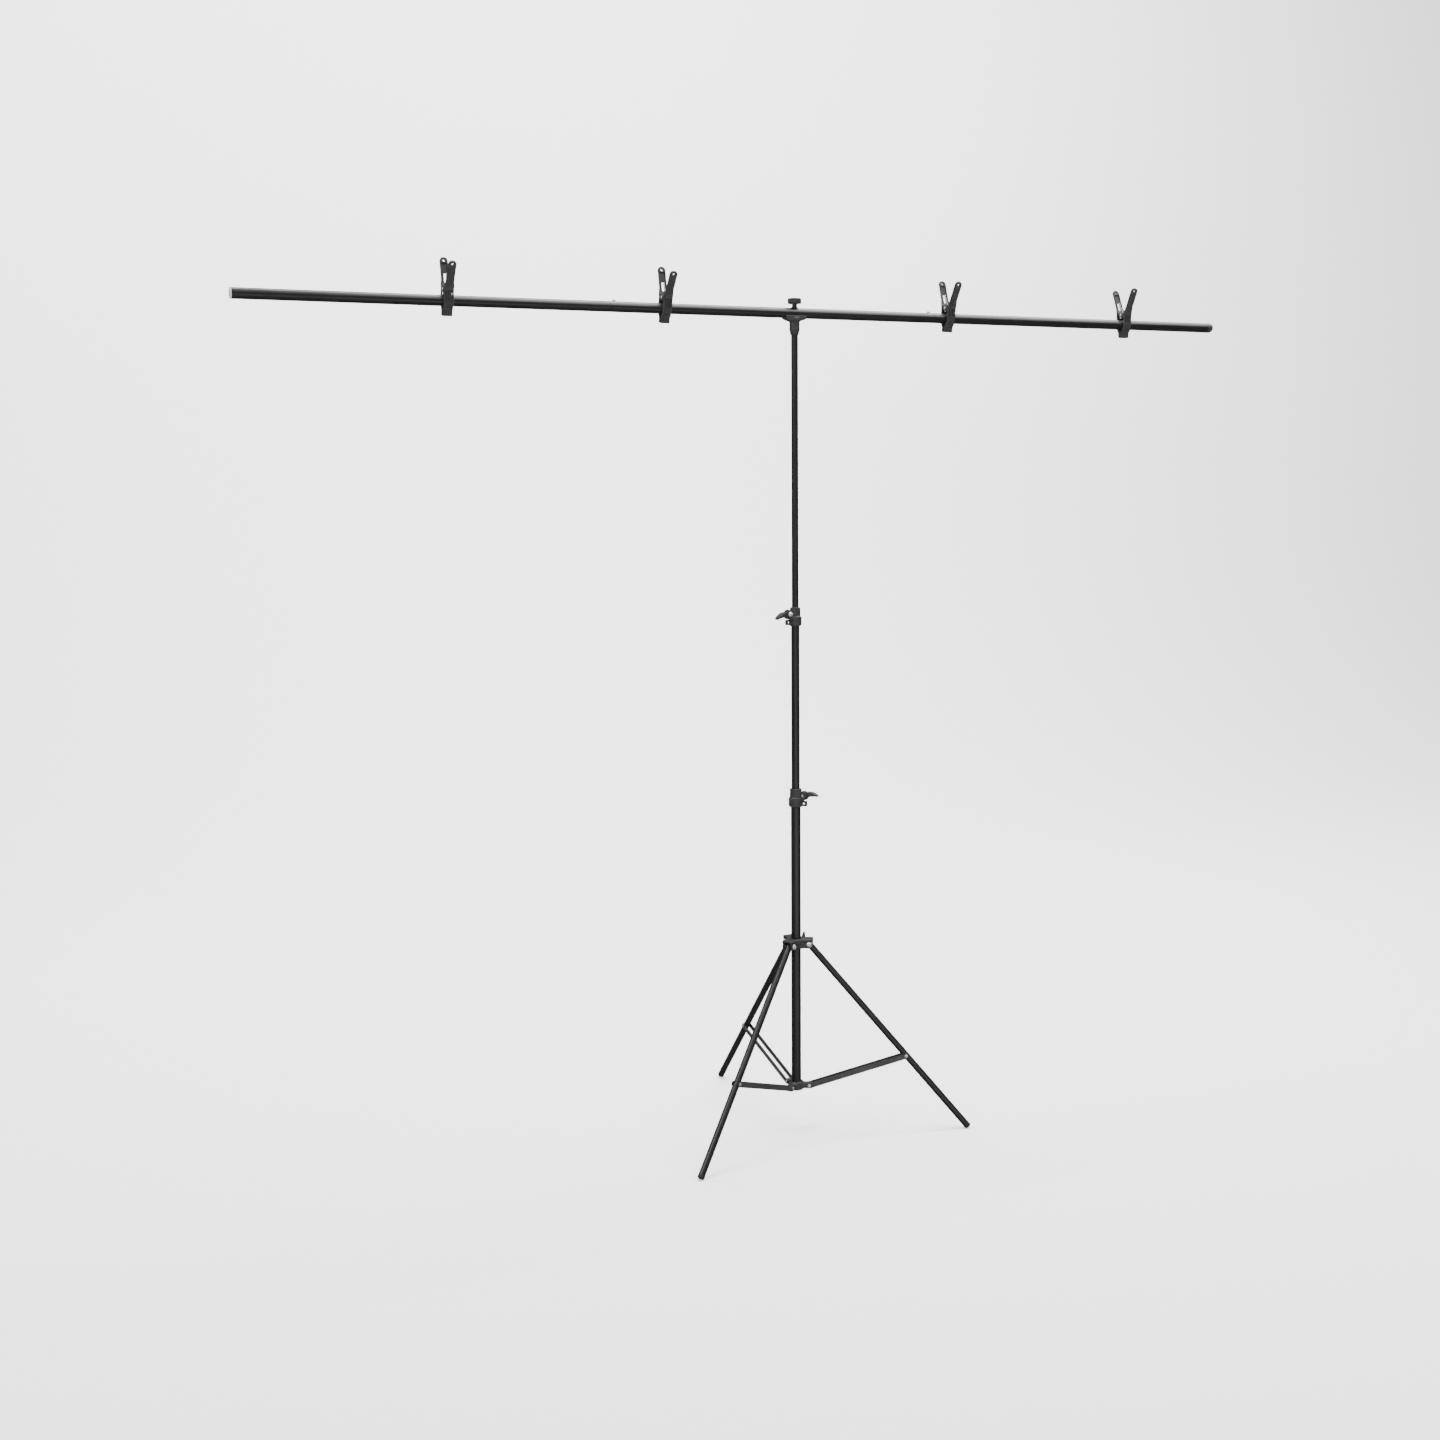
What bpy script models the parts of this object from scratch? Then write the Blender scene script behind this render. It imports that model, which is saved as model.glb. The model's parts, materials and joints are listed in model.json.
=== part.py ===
"""Backdrop stand: a folding tripod with a telescopic column, a crossbar in three sections and four clips.

Units are metres, +Z is up and the crossbar lies along X. The floor is z = 0.
The stand is drawn set up: legs spread, column out, crossbar clamped on the head.
"""

import math

import bmesh
import bpy
from mathutils import Matrix, Vector

# Clearances
GAP = 0.0003  # between pieces that touch
TUBE_PLAY = 0.0005  # between a sliding tube and the tube round it
SWING_PLAY = 0.0006  # round an end that swings inside a fork

# Column tubes, each one slides inside the one below
TUBE_WALL = 0.001
TOP_TUBE_RADIUS = 0.0065
MIDDLE_TUBE_RADIUS = TOP_TUBE_RADIUS + TUBE_PLAY + TUBE_WALL
LOWER_TUBE_RADIUS = MIDDLE_TUBE_RADIUS + TUBE_PLAY + TUBE_WALL
LOWER_TUBE_LENGTH = 0.602
MIDDLE_TUBE_LENGTH = 0.602
TOP_TUBE_LENGTH = 0.602
MIDDLE_TUBE_OUT = 0.3535  # from the lower tube's end to the middle tube's end
TOP_TUBE_OUT = 0.5365  # from the middle tube's end to the top tube's end

# Legs and braces
LEG_COUNT = 3
FIRST_LEG_AZIMUTH = math.radians(-26.25)
LEG_SPREAD = math.radians(40.5)  # of a leg from the vertical
LEG_RADIUS = 0.0065
LEG_WALL = 0.001
LEG_TOP = 0.004  # of the leg's tube beyond its hinge
LEG_UPPER = 0.2945  # hinge to brace rivet
LEG_LOWER = 0.1904  # brace rivet to the foot's end
LEG_LENGTH = LEG_UPPER + LEG_LOWER
BRACE_SPREAD = math.radians(71.66)  # of a brace from the vertical
STRIP_HEIGHT = 0.010
STRIP_THICKNESS = 0.0018
RIVET_RADIUS = 0.0019
RIVET_HEAD_RADIUS = 0.0034
RIVET_HEAD_HEIGHT = 0.0011
HEAD_EDGE = 0.35  # height of a domed head's edge, as a share of the head's height
HEAD_CROWN = 0.62  # radius of its flat crown, as a share of the head's radius

# Feet
CAP_LIP = 0.0003  # of a foot cap beyond the leg's tube
CAP_LENGTH = 0.006
CAP_PLUG = 0.014  # of a foot cap inside the leg's tube
CAP_ROUNDING = 0.003
FOOT_FLAT_DEPTH = 0.0006

# Both hubs
HUB_WALL = 0.008  # between the lower tube and the room for a leg's end
HUB_NOSE = 0.008  # of an arm beyond its hinge pin

# Upper hub, which slides on the lower tube
EAR_THICKNESS = 0.0044
UPPER_HUB_DROP = 0.007  # below the hinge pins
UPPER_HUB_WEB = 0.0037  # over the forks
UPPER_HUB_CORE_WALL = 0.005
HUB_BOLT_RADIUS = 0.0027
HUB_BOLT_HEAD_RADIUS = 0.006
HUB_BOLT_HEAD_HEIGHT = 0.003
HUB_KNOB_LENGTH = 0.018  # from its seat on the hub
HUB_KNOB_WING = 0.0155
HUB_KNOB_THICKNESS = 0.005
HUB_KNOB_BOSS_RADIUS = 0.0048
LOCK_SCREW_RADIUS = 0.0028

# Lower hub, fixed to the bottom of the lower tube
LOWER_HUB_HEIGHT = 0.011
LOWER_HUB_CUP_WALL = 0.0037
LOWER_HUB_CUP_HEIGHT = 0.017
LOWER_HUB_FLOOR = 0.0022

# Collars and their clamp levers
COLLAR_HEIGHT = 0.036
COLLAR_LIP = 0.0015  # over the outer tube's end
COLLAR_TOP_WALL = 0.002
COLLAR_BASE_WALL = 0.0043
COLLAR_MOUTH_WALL = 0.0009  # at the rounded bottom
COLLAR_EDGE = 0.0007  # rounding of its edges
COLLAR_SLOPE = 0.0022  # height of the slope under the lever, where it widens
COLLAR_ROUNDING = 0.0045  # height of its rounded bottom
LEVER_PIN_DROP = 0.013  # of the pin below the collar's top
LEVER_PLAY = 0.0009  # between the lever's eye and the collar
LEVER_PIN_RADIUS = 0.0024
LEVER_PIN_HEAD_RADIUS = 0.0053
LEVER_PIN_HEAD_HEIGHT = 0.0026
LEVER_EYE_RADIUS = 0.0046
LEVER_ROOT_WIDTH = 0.006
LEVER_ARM_WIDTH = 0.0126
LEVER_REACH = 0.030  # of the tip from the pin
LEVER_DROP = 0.0078  # of the tip below the pin, when the lever is closed
LEVER_ARM_HALF = 0.0050  # half its thickness at the root
LEVER_TIP_HALF = 0.0019
CHEEK_THICKNESS = 0.0026
CHEEK_RADIUS = 0.0092
LUG_REACH = 0.0145  # from the outer tube's surface
LUG_LIFT = 0.0027  # above the collar's bottom
LUG_PLAY = 0.001  # under the cheeks
LUG_WIDTH = 0.007
LUG_RIM = 0.0032
LUG_CORNER = 0.002
LUG_SLANT = 0.0008
UPPER_LEVER_AZIMUTH = math.radians(192.31)
LOWER_LEVER_AZIMUTH = math.radians(-50.69)
UPPER_LEVER_LIFT = math.radians(0)
LOWER_LEVER_LIFT = math.radians(18)

# Head on the top tube
SADDLE_FLOOR = 0.0102  # from the top tube's end to the saddle's floor
SOCKET_RADIAL_WALL = 0.003
SOCKET_DEPTH = 0.020
SOCKET_TAPER = 0.009
SOCKET_MOUTH_WALL = 0.0009
SADDLE_LENGTH = 0.043
SADDLE_HUG = 0.005  # of the saddle's edge below the crossbar's axis
SADDLE_END = 0.0013  # of the saddle's ends below the crossbar
SADDLE_BELLY = 0.0055  # of its middle below the saddle's floor

# Crossbar
BAR_LENGTH = 2.0
BAR_SECTIONS = 3
BAR_RADIUS = 0.0095
BAR_WALL = 0.001
BAR_SHIFT = -0.0364  # of the crossbar's middle from the column's axis
NECK_LENGTH = 0.055
NECK_TAPER = 0.004
BUTTON_INSET = 0.0095  # from the seam into the middle section
BUTTON_RADIUS = 0.00275
BUTTON_OUT = 0.0045
END_CAP_LENGTH = 0.016
END_PLUG_LENGTH = 0.012
END_RING_LIP = 0.0025
END_RING_LENGTH = 0.010
END_RING_WALL = 0.0008

# Knob that clamps the crossbar
BAR_SCREW_RADIUS = 0.0028
BAR_SCREW_SEAT = 0.0068  # of the screw into the saddle
KNOB_RADIUS = 0.0128
KNOB_LOBES = 6
KNOB_LOBE_DEPTH = 0.0009
KNOB_THICKNESS = 0.0108
KNOB_NECK_LENGTH = 0.0078
KNOB_NECK_RADIUS = 0.0044
KNOB_FLANGE_RADIUS = 0.0066

# Clips on the crossbar: place along it from the column's axis, and turn about it
CLIPS = [
    (-0.6675, math.radians(12)),
    (-0.2612, math.radians(13)),
    (0.3311, math.radians(7)),
    (0.7429, math.radians(1.5)),
]
CLIP_WIDTH = 0.0174
CLIP_HANDLE_WIDTH = 0.0145
CLIP_WALL = 0.0042
CLIP_PIN_RISE = 0.0095  # of the pin above the crossbar's surface
CLIP_PIN_RADIUS = 0.002
CLIP_PIN_HEAD_RADIUS = 0.0032
CLIP_PIN_HEAD_HEIGHT = 0.0011
CLIP_EYE_RADIUS = 0.0042
CLIP_EAR_THICKNESS = 0.0024
CLIP_EAR_INSET = 0.0002  # of the outer ears from the clip's sides
CLIP_EAR_RISE = 0.008  # of the ears above the pin
CLIP_KNEE_RISE = 0.0145  # of the handle's bend above the crossbar's surface
CLIP_TAPER = 0.008  # height over which the clip narrows to its handle
CLIP_TAPER_RISE = 0.012  # of that stretch's middle above the pin
CLIP_HANDLE_LENGTH = 0.0530
CLIP_HANDLE_LEAN = math.radians(25.7)
CLIP_JAW_DROP = 0.0165  # of the jaw's tip below the crossbar's surface
CLIP_JAW_TIP = 0.0062
CLIP_PAD_HEIGHT = 0.0075
CLIP_JAW_CHAMFER = 0.001
CLIP_HOLE_RADIUS = 0.0022
CLIP_HOLE_INSET = 0.0065
CLIP_POCKET_DEPTH = 0.0024
CLIP_POCKET_RIM = 0.0018
CLIP_POCKET_INSET = 0.006  # from the handle's bend, and from its hang hole
SPRING_WIRE_RADIUS = 0.0006
SPRING_PLAY = 0.0006  # between the coil and the pin
SPRING_SIDE_PLAY = 0.0005  # between the coil and the ears beside it
SPRING_FULL_TURNS = 2
SPRING_REST = 0.024  # where its ends rest on the handles, from the bend
SPRING_POINTS_PER_TURN = 10

# Facets round the turned pieces
TUBE_SIDES = 16
LEG_SIDES = 16
SMALL_SIDES = 8
ARC_STEPS = 4

# Heights and angles that follow from the sizes above
LEG_SWING = math.hypot(LEG_RADIUS, LEG_TOP)
LEG_HINGE_RADIUS = LOWER_TUBE_RADIUS + GAP + HUB_WALL + SWING_PLAY + LEG_SWING
HUB_REACH = LEG_HINGE_RADIUS + HUB_NOSE
BRACE_LENGTH = LEG_UPPER * math.sin(LEG_SPREAD) / math.sin(BRACE_SPREAD)
CAP_RADIUS = LEG_RADIUS + CAP_LIP
FOOT_DROP = (
    (LEG_LENGTH - CAP_ROUNDING) * math.cos(LEG_SPREAD)
    + (CAP_RADIUS - CAP_ROUNDING) * math.sin(LEG_SPREAD)
    + CAP_ROUNDING
)
HINGE_Z = FOOT_DROP - FOOT_FLAT_DEPTH
LOWER_HUB_Z = HINGE_Z - LEG_UPPER * math.cos(LEG_SPREAD) - BRACE_LENGTH * math.cos(BRACE_SPREAD)
LOWER_TUBE_Z = LOWER_HUB_Z - LOWER_HUB_CUP_HEIGHT / 2 + LOWER_HUB_FLOOR + GAP
LOWER_TUBE_END_Z = LOWER_TUBE_Z + LOWER_TUBE_LENGTH
MIDDLE_TUBE_END_Z = LOWER_TUBE_END_Z + MIDDLE_TUBE_OUT
TOP_TUBE_END_Z = MIDDLE_TUBE_END_Z + TOP_TUBE_OUT
HEAD_TO_BAR = SADDLE_FLOOR + GAP + BAR_RADIUS
BAR_Z = TOP_TUBE_END_Z + HEAD_TO_BAR
STRIP_OFFSET = LEG_RADIUS + GAP  # of a strip's inner face from the leg's middle plane
FORK_CEILING = LEG_SWING + SWING_PLAY
LEVER_PIN_OFFSET = COLLAR_TOP_WALL + LEVER_PLAY + LEVER_EYE_RADIUS
NECK_RADIUS = BAR_RADIUS - BAR_WALL - GAP
CLIP_PIN_Z = BAR_RADIUS + CLIP_PIN_RISE
CLIP_OUTER_EAR = CLIP_WIDTH / 2 - CLIP_EAR_INSET - CLIP_EAR_THICKNESS
CLIP_INNER_EAR = CLIP_OUTER_EAR - GAP - CLIP_EAR_THICKNESS


def leg_azimuth(index):
    return FIRST_LEG_AZIMUTH + index * math.tau / LEG_COUNT


def column_place():
    """Where the column stands, so that the outline's middle is over the origin."""
    reach = LEG_HINGE_RADIUS + LEG_LENGTH * math.sin(LEG_SPREAD) + CAP_RADIUS * math.cos(LEG_SPREAD)
    across = [reach * math.sin(leg_azimuth(index)) for index in range(LEG_COUNT)]
    return Vector((-BAR_SHIFT, -(min(across) + max(across)) / 2, 0))


# Scene, collections and materials


def clear_scene():
    for item in list(bpy.data.objects):
        bpy.data.objects.remove(item, do_unlink=True)


def new_collection(name):
    group = bpy.data.collections.new(name)
    bpy.context.scene.collection.children.link(group)
    return group


clear_scene()
PARTS = new_collection("backdrop_stand")
CUTTERS = new_collection("backdrop_stand_cutters")


def material(name, colour, roughness, metallic=0.0):
    surface = bpy.data.materials.new(name)
    surface.use_nodes = True
    shader = surface.node_tree.nodes["Principled BSDF"]
    shader.inputs["Base Color"].default_value = (*colour, 1)
    shader.inputs["Roughness"].default_value = roughness
    shader.inputs["Metallic"].default_value = metallic
    return surface


BLACK_PAINT = material("black_painted_tube", (0.018, 0.018, 0.02), 0.38)
BLACK_PLASTIC = material("black_moulded_plastic", (0.02, 0.02, 0.021), 0.5)
CLIP_PLASTIC = material("black_nylon", (0.026, 0.026, 0.028), 0.46)
BLACK_STEEL = material("black_coated_steel", (0.02, 0.02, 0.022), 0.42, 0.4)
BRIGHT_STEEL = material("bright_zinc_steel", (0.72, 0.72, 0.71), 0.28, 1.0)
GREY_PLASTIC = material("light_grey_plastic", (0.5, 0.5, 0.5), 0.5)
FOOT_RUBBER = material("black_rubber", (0.015, 0.015, 0.015), 0.75)


# Placing and shaping


def rotation(axis, angle):
    return Matrix.Rotation(angle, 4, axis)


def shift(x=0.0, y=0.0, z=0.0):
    return Matrix.Translation((x, y, z))


def place(name, data, parent=None, matrix=None, group=PARTS, surface=None):
    """Link an object to a collection, under its parent, at a matrix in the parent's space."""
    item = bpy.data.objects.new(name, data)
    group.objects.link(item)
    item.parent = parent
    item.matrix_local = matrix or Matrix.Identity(4)
    if surface:
        item.data.materials.clear()
        item.data.materials.append(surface)
    return item


def empty(name, parent=None, matrix=None):
    return place(name, None, parent, matrix)


def mesh_from(name, build):
    """A mesh made by a function that fills a bmesh."""
    work = bmesh.new()
    build(work)
    data = bpy.data.meshes.new(name)
    work.to_mesh(data)
    work.free()
    return data


def box_mesh(name, low, high):
    """A box between two corners."""
    size = Vector(high) - Vector(low)
    middle = (Vector(high) + Vector(low)) / 2
    matrix = Matrix.Translation(middle) @ Matrix.Diagonal((*size, 1))
    return mesh_from(name, lambda work: bmesh.ops.create_cube(work, size=1, matrix=matrix))


def rod_mesh(name, radius, start, end, sides=SMALL_SIDES):
    """A round rod between two points."""
    start, end = Vector(start), Vector(end)
    along = end - start
    turn = along.to_track_quat("Z", "Y").to_matrix().to_4x4()
    matrix = Matrix.Translation((start + end) / 2) @ turn

    def build(work):
        bmesh.ops.create_cone(
            work,
            cap_ends=True,
            segments=sides,
            radius1=radius,
            radius2=radius,
            depth=along.length,
            matrix=matrix,
        )

    return mesh_from(name, build)


def turned(name, profile, parent=None, matrix=None, sides=TUBE_SIDES, surface=None, closed=False):
    """Turn a profile of (radius, height) about Z; it runs down its outer side."""
    count = len(profile)
    edges = [(i, (i + 1) % count) for i in range(count if closed else count - 1)]
    data = bpy.data.meshes.new(name)
    data.from_pydata([(radius, 0, height) for radius, height in profile], edges, [])
    item = place(name, data, parent, matrix, surface=surface)
    screw = item.modifiers.new("turn", "SCREW")
    screw.steps = sides
    screw.render_steps = sides
    screw.use_merge_vertices = True
    screw.merge_threshold = 0.00001
    screw.use_smooth_shade = True
    return item


def tube_profile(outer, inner, bottom, top):
    return [(outer, top), (outer, bottom), (inner, bottom), (inner, top)]


def outline_mesh(name, outlines, thickness):
    """A flat piece in XY with holes, made from a filled 2D curve and centred on z = 0."""
    curve = bpy.data.curves.new(name, "CURVE")
    curve.dimensions = "2D"
    curve.fill_mode = "BOTH"
    curve.extrude = thickness / 2
    for points in outlines:
        spline = curve.splines.new("POLY")
        spline.points.add(len(points) - 1)
        for point, (x, y) in zip(spline.points, points):
            point.co = (x, y, 0, 1)
        spline.use_cyclic_u = True
    item = place(name, curve)
    bpy.context.view_layer.update()
    evaluated = item.evaluated_get(bpy.context.evaluated_depsgraph_get())
    data = bpy.data.meshes.new_from_object(evaluated)
    bpy.data.objects.remove(item, do_unlink=True)
    bpy.data.curves.remove(curve)
    weld_mesh(data)
    data.name = name
    return data


def weld_mesh(data):
    """Join the loose caps of a mesh that came from a curve, with its faces pointing out."""
    work = bmesh.new()
    work.from_mesh(data)
    bmesh.ops.remove_doubles(work, verts=work.verts, dist=0.00001)
    bmesh.ops.recalc_face_normals(work, faces=work.faces)
    work.to_mesh(data)
    work.free()


def moved_mesh(data, matrix):
    """The same mesh moved; a mirroring matrix also turns its faces round."""
    data.transform(matrix)
    if matrix.determinant() < 0:
        data.flip_normals()
    return data


def combine(item, tool, operation="DIFFERENCE"):
    """Cut an object by a mesh in its own space, or join the mesh to it."""
    cutter = place(item.name + "_tool", tool, item, group=CUTTERS)
    cutter.hide_render = True
    cutter.display_type = "WIRE"
    step = item.modifiers.new(operation.lower(), "BOOLEAN")
    step.operation = operation
    step.solver = "EXACT"
    step.object = cutter
    return item


def settled_mesh(item):
    """The mesh of an object with its modifiers applied; the object and its cutters go."""
    bpy.context.view_layer.update()
    evaluated = item.evaluated_get(bpy.context.evaluated_depsgraph_get())
    data = bpy.data.meshes.new_from_object(evaluated)
    for child in list(item.children):
        bpy.data.objects.remove(child, do_unlink=True)
    bpy.data.objects.remove(item, do_unlink=True)
    return data


def arc(centre, radius, start, end, steps=ARC_STEPS):
    """Points on an arc, angles in radians, both ends included."""
    cx, cy = centre
    angles = [start + (end - start) * i / steps for i in range(steps + 1)]
    return [(cx + radius * math.cos(angle), cy + radius * math.sin(angle)) for angle in angles]


def circle(centre, radius, sides=SMALL_SIDES):
    return arc(centre, radius, 0, math.tau * (sides - 1) / sides, sides - 1)


def upright(data):
    """Stand a flat XY outline up, so that its Y becomes Z and its thickness lies along Y."""
    return moved_mesh(data, rotation("X", math.pi / 2))


# Column


def column_tube(name, radius, length, parent, z):
    profile = tube_profile(radius, radius - TUBE_WALL, 0, length)
    return turned(name, profile, parent, shift(z=z), surface=BLACK_PAINT, closed=True)


def add_arms(hub, half_width, low, high):
    """Join an arm along each leg to a hub's round core."""
    for index in range(LEG_COUNT):
        arm = box_mesh("arm", (0, -half_width, low), (HUB_REACH, half_width, high))
        combine(hub, moved_mesh(arm, rotation("Z", leg_azimuth(index))), "UNION")


def across_leg(index, radial, height, low, high):
    """The two ends of a line across a leg's middle plane, at a distance from the column's axis."""
    turn = rotation("Z", leg_azimuth(index))
    return turn @ Vector((radial, low, height)), turn @ Vector((radial, high, height))


def lower_hub(parent):
    """The spider that closes the foot of the lower tube and carries the braces."""
    half = LOWER_HUB_CUP_HEIGHT / 2
    bore = LOWER_TUBE_RADIUS + GAP
    core = rod_mesh("lower_hub", bore + LOWER_HUB_CUP_WALL, (0, 0, -half), (0, 0, half), TUBE_SIDES)
    hub = place("lower_hub", core, parent, shift(z=LOWER_HUB_Z), surface=BLACK_STEEL)
    add_arms(hub, LEG_RADIUS, -LOWER_HUB_HEIGHT / 2, LOWER_HUB_HEIGHT / 2)
    floor = LOWER_HUB_FLOOR - half
    combine(hub, rod_mesh("bore", bore, (0, 0, floor), (0, 0, 2 * half), TUBE_SIDES))
    for index in range(LEG_COUNT):
        ends = across_leg(index, LEG_HINGE_RADIUS, 0, -2 * LEG_RADIUS, 2 * LEG_RADIUS)
        combine(hub, rod_mesh("rivet_hole", RIVET_RADIUS + GAP, *ends))
    return hub


def pin_profile(radius, half_length, head_radius, head_height):
    """A pin along Z with a low domed head on each end."""
    edge = HEAD_EDGE * head_height
    crown = HEAD_CROWN * head_radius
    top = [(0, half_length + head_height), (crown, half_length + head_height)]
    top += [(head_radius, half_length + edge), (head_radius, half_length), (radius, half_length)]
    return top + [(r, -z) for r, z in reversed(top)]


def half_rivet_profile(radius, length, head_radius, head_height):
    """A rivet with one head, from its head's crown down to its end at z = 0."""
    return [
        (0, length + head_height),
        (HEAD_CROWN * head_radius, length + head_height),
        (head_radius, length + HEAD_EDGE * head_height),
        (head_radius, length),
        (radius, length),
        (radius, 0),
        (0, 0),
    ]


def cross_pin(name, index, parent, profile, sides):
    """A two-headed pin across a leg's middle plane, at the hinge radius."""
    turn = rotation("Z", leg_azimuth(index)) @ shift(x=LEG_HINGE_RADIUS) @ rotation("X", math.pi / 2)
    return turned(name, profile, parent, turn, sides, BRIGHT_STEEL)


def lower_hub_rivets(parent):
    """One rivet through each arm and the two strips beside it."""
    half_length = STRIP_OFFSET + STRIP_THICKNESS + GAP
    profile = pin_profile(RIVET_RADIUS, half_length, RIVET_HEAD_RADIUS, RIVET_HEAD_HEIGHT)
    frame = empty("lower_hub_frame", parent, shift(z=LOWER_HUB_Z))
    for index in range(LEG_COUNT):
        cross_pin("lower_hub_rivet_%d" % (index + 1), index, frame, profile, SMALL_SIDES)


def upper_hub(parent):
    """The sliding hub: a thick star with a fork for each leg and a hole for the lock screw."""
    half_width = STRIP_OFFSET + EAR_THICKNESS
    top = FORK_CEILING + UPPER_HUB_WEB
    bottom = -UPPER_HUB_DROP
    bore = LOWER_TUBE_RADIUS + GAP
    core = rod_mesh("upper_hub", hub_core_radius(), (0, 0, bottom), (0, 0, top), TUBE_SIDES)
    hub = place("upper_hub", core, parent, surface=BLACK_PLASTIC)
    add_arms(hub, half_width, bottom, top)
    combine(hub, rod_mesh("bore", bore, (0, 0, 2 * bottom), (0, 0, 2 * top), TUBE_SIDES))
    wall = bore + HUB_WALL
    for index in range(LEG_COUNT):
        low = (wall, -STRIP_OFFSET, 2 * bottom)
        slot = box_mesh("fork", low, (2 * HUB_REACH, STRIP_OFFSET, FORK_CEILING))
        combine(hub, moved_mesh(slot, rotation("Z", leg_azimuth(index))))
        ends = across_leg(index, LEG_HINGE_RADIUS, 0, -2 * half_width, 2 * half_width)
        combine(hub, rod_mesh("bolt_hole", HUB_BOLT_RADIUS + GAP, *ends))
    knob_turn = rotation("Z", hub_knob_azimuth())
    start = knob_turn @ Vector((0, 0, hub_knob_height()))
    end = knob_turn @ Vector((2 * hub_core_radius(), 0, hub_knob_height()))
    combine(hub, rod_mesh("lock_hole", LOCK_SCREW_RADIUS + GAP, start, end))
    return hub


def hub_core_radius():
    return LOWER_TUBE_RADIUS + GAP + UPPER_HUB_CORE_WALL


def hub_knob_azimuth():
    return leg_azimuth(0) + math.pi / LEG_COUNT


def hub_knob_height():
    """Of the lock screw above the hinge pins: half way up the hub."""
    return (FORK_CEILING + UPPER_HUB_WEB - UPPER_HUB_DROP) / 2


def hub_knob_seat():
    """Where the knob's boss meets the hub: at its core, or at the arms beside it."""
    half_angle = math.pi / LEG_COUNT
    half_width = STRIP_OFFSET + EAR_THICKNESS
    along_arm = (HUB_KNOB_BOSS_RADIUS + half_width * math.cos(half_angle)) / math.sin(half_angle)
    arms = along_arm * math.cos(half_angle) + half_width * math.sin(half_angle)
    return max(hub_core_radius(), arms)


def upper_hub_bolts(parent):
    """One bolt through each fork, which the leg turns on."""
    half_length = STRIP_OFFSET + EAR_THICKNESS + GAP
    profile = pin_profile(HUB_BOLT_RADIUS, half_length, HUB_BOLT_HEAD_RADIUS, HUB_BOLT_HEAD_HEIGHT)
    for index in range(LEG_COUNT):
        cross_pin("upper_hub_bolt_%d" % (index + 1), index, parent, profile, LEG_SIDES)


def hub_knob(parent):
    """A winged lock knob whose screw bears on the lower tube; it turns about its local Z."""
    start = LOWER_TUBE_RADIUS + GAP
    seat = hub_knob_seat() + GAP
    end = seat + HUB_KNOB_LENGTH
    boss = HUB_KNOB_BOSS_RADIUS
    profile = [
        (0, end),
        (0.6 * boss, end),
        (boss, seat + 0.25 * HUB_KNOB_LENGTH),
        (boss, seat),
        (LOCK_SCREW_RADIUS, seat),
        (LOCK_SCREW_RADIUS, start),
        (0, start),
    ]
    matrix = rotation("Z", hub_knob_azimuth()) @ shift(z=hub_knob_height()) @ rotation("Y", math.pi / 2)
    knob = turned("hub_knob", profile, parent, matrix, SMALL_SIDES, BLACK_PLASTIC)
    shape = [(0, 0.3), (0.6, 0.38), (1, 0.75), (1, 0.9), (0.35, 0.95)]
    right = [(HUB_KNOB_WING * across, seat + HUB_KNOB_LENGTH * along) for across, along in shape]
    outline = right + [(-x, y) for x, y in reversed(right) if x > 0]
    combine(knob, upright(outline_mesh("wings", [outline], HUB_KNOB_THICKNESS)), "UNION")
    return knob


# Legs and braces


def leg(index, parent):
    """A leg and its foot cap; the leg hangs down its local -Z from the hinge."""
    matrix = rotation("Z", leg_azimuth(index)) @ shift(x=LEG_HINGE_RADIUS) @ rotation("Y", -LEG_SPREAD)
    pivot = empty("leg_%d_hinge" % (index + 1), parent, matrix)
    end = -(LEG_LENGTH - CAP_LENGTH - GAP)
    profile = tube_profile(LEG_RADIUS, LEG_RADIUS - LEG_WALL, end, LEG_TOP)
    tube = turned("leg_%d" % (index + 1), profile, pivot, None, LEG_SIDES, BLACK_PAINT, closed=True)
    across = 2 * LEG_RADIUS
    combine(tube, rod_mesh("bolt_hole", HUB_BOLT_RADIUS + GAP, (0, -across, 0), (0, across, 0)))
    foot_cap(index, pivot)
    return pivot


def foot_cap(index, parent):
    """A cap that closes the leg's end by a plug inside it, with a small flat worn where it stands."""
    bottom = -LEG_LENGTH
    top = bottom + CAP_LENGTH
    rounding = arc((CAP_RADIUS - CAP_ROUNDING, bottom + CAP_ROUNDING), CAP_ROUNDING, 0, -math.pi / 2, 4)
    plug = LEG_RADIUS - LEG_WALL - GAP
    inside = [(0, top + CAP_PLUG), (plug, top + CAP_PLUG), (plug, top), (CAP_RADIUS, top)]
    profile = inside + rounding + [(0, bottom)]
    cap = turned("foot_cap_%d" % (index + 1), profile, parent, None, LEG_SIDES, FOOT_RUBBER)
    deep = 2 * CAP_RADIUS
    floor = box_mesh("floor", (0, -deep, -HINGE_Z - deep), (LEG_LENGTH, deep, -HINGE_Z))
    combine(cap, moved_mesh(floor, rotation("Y", LEG_SPREAD)))
    return cap


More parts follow.
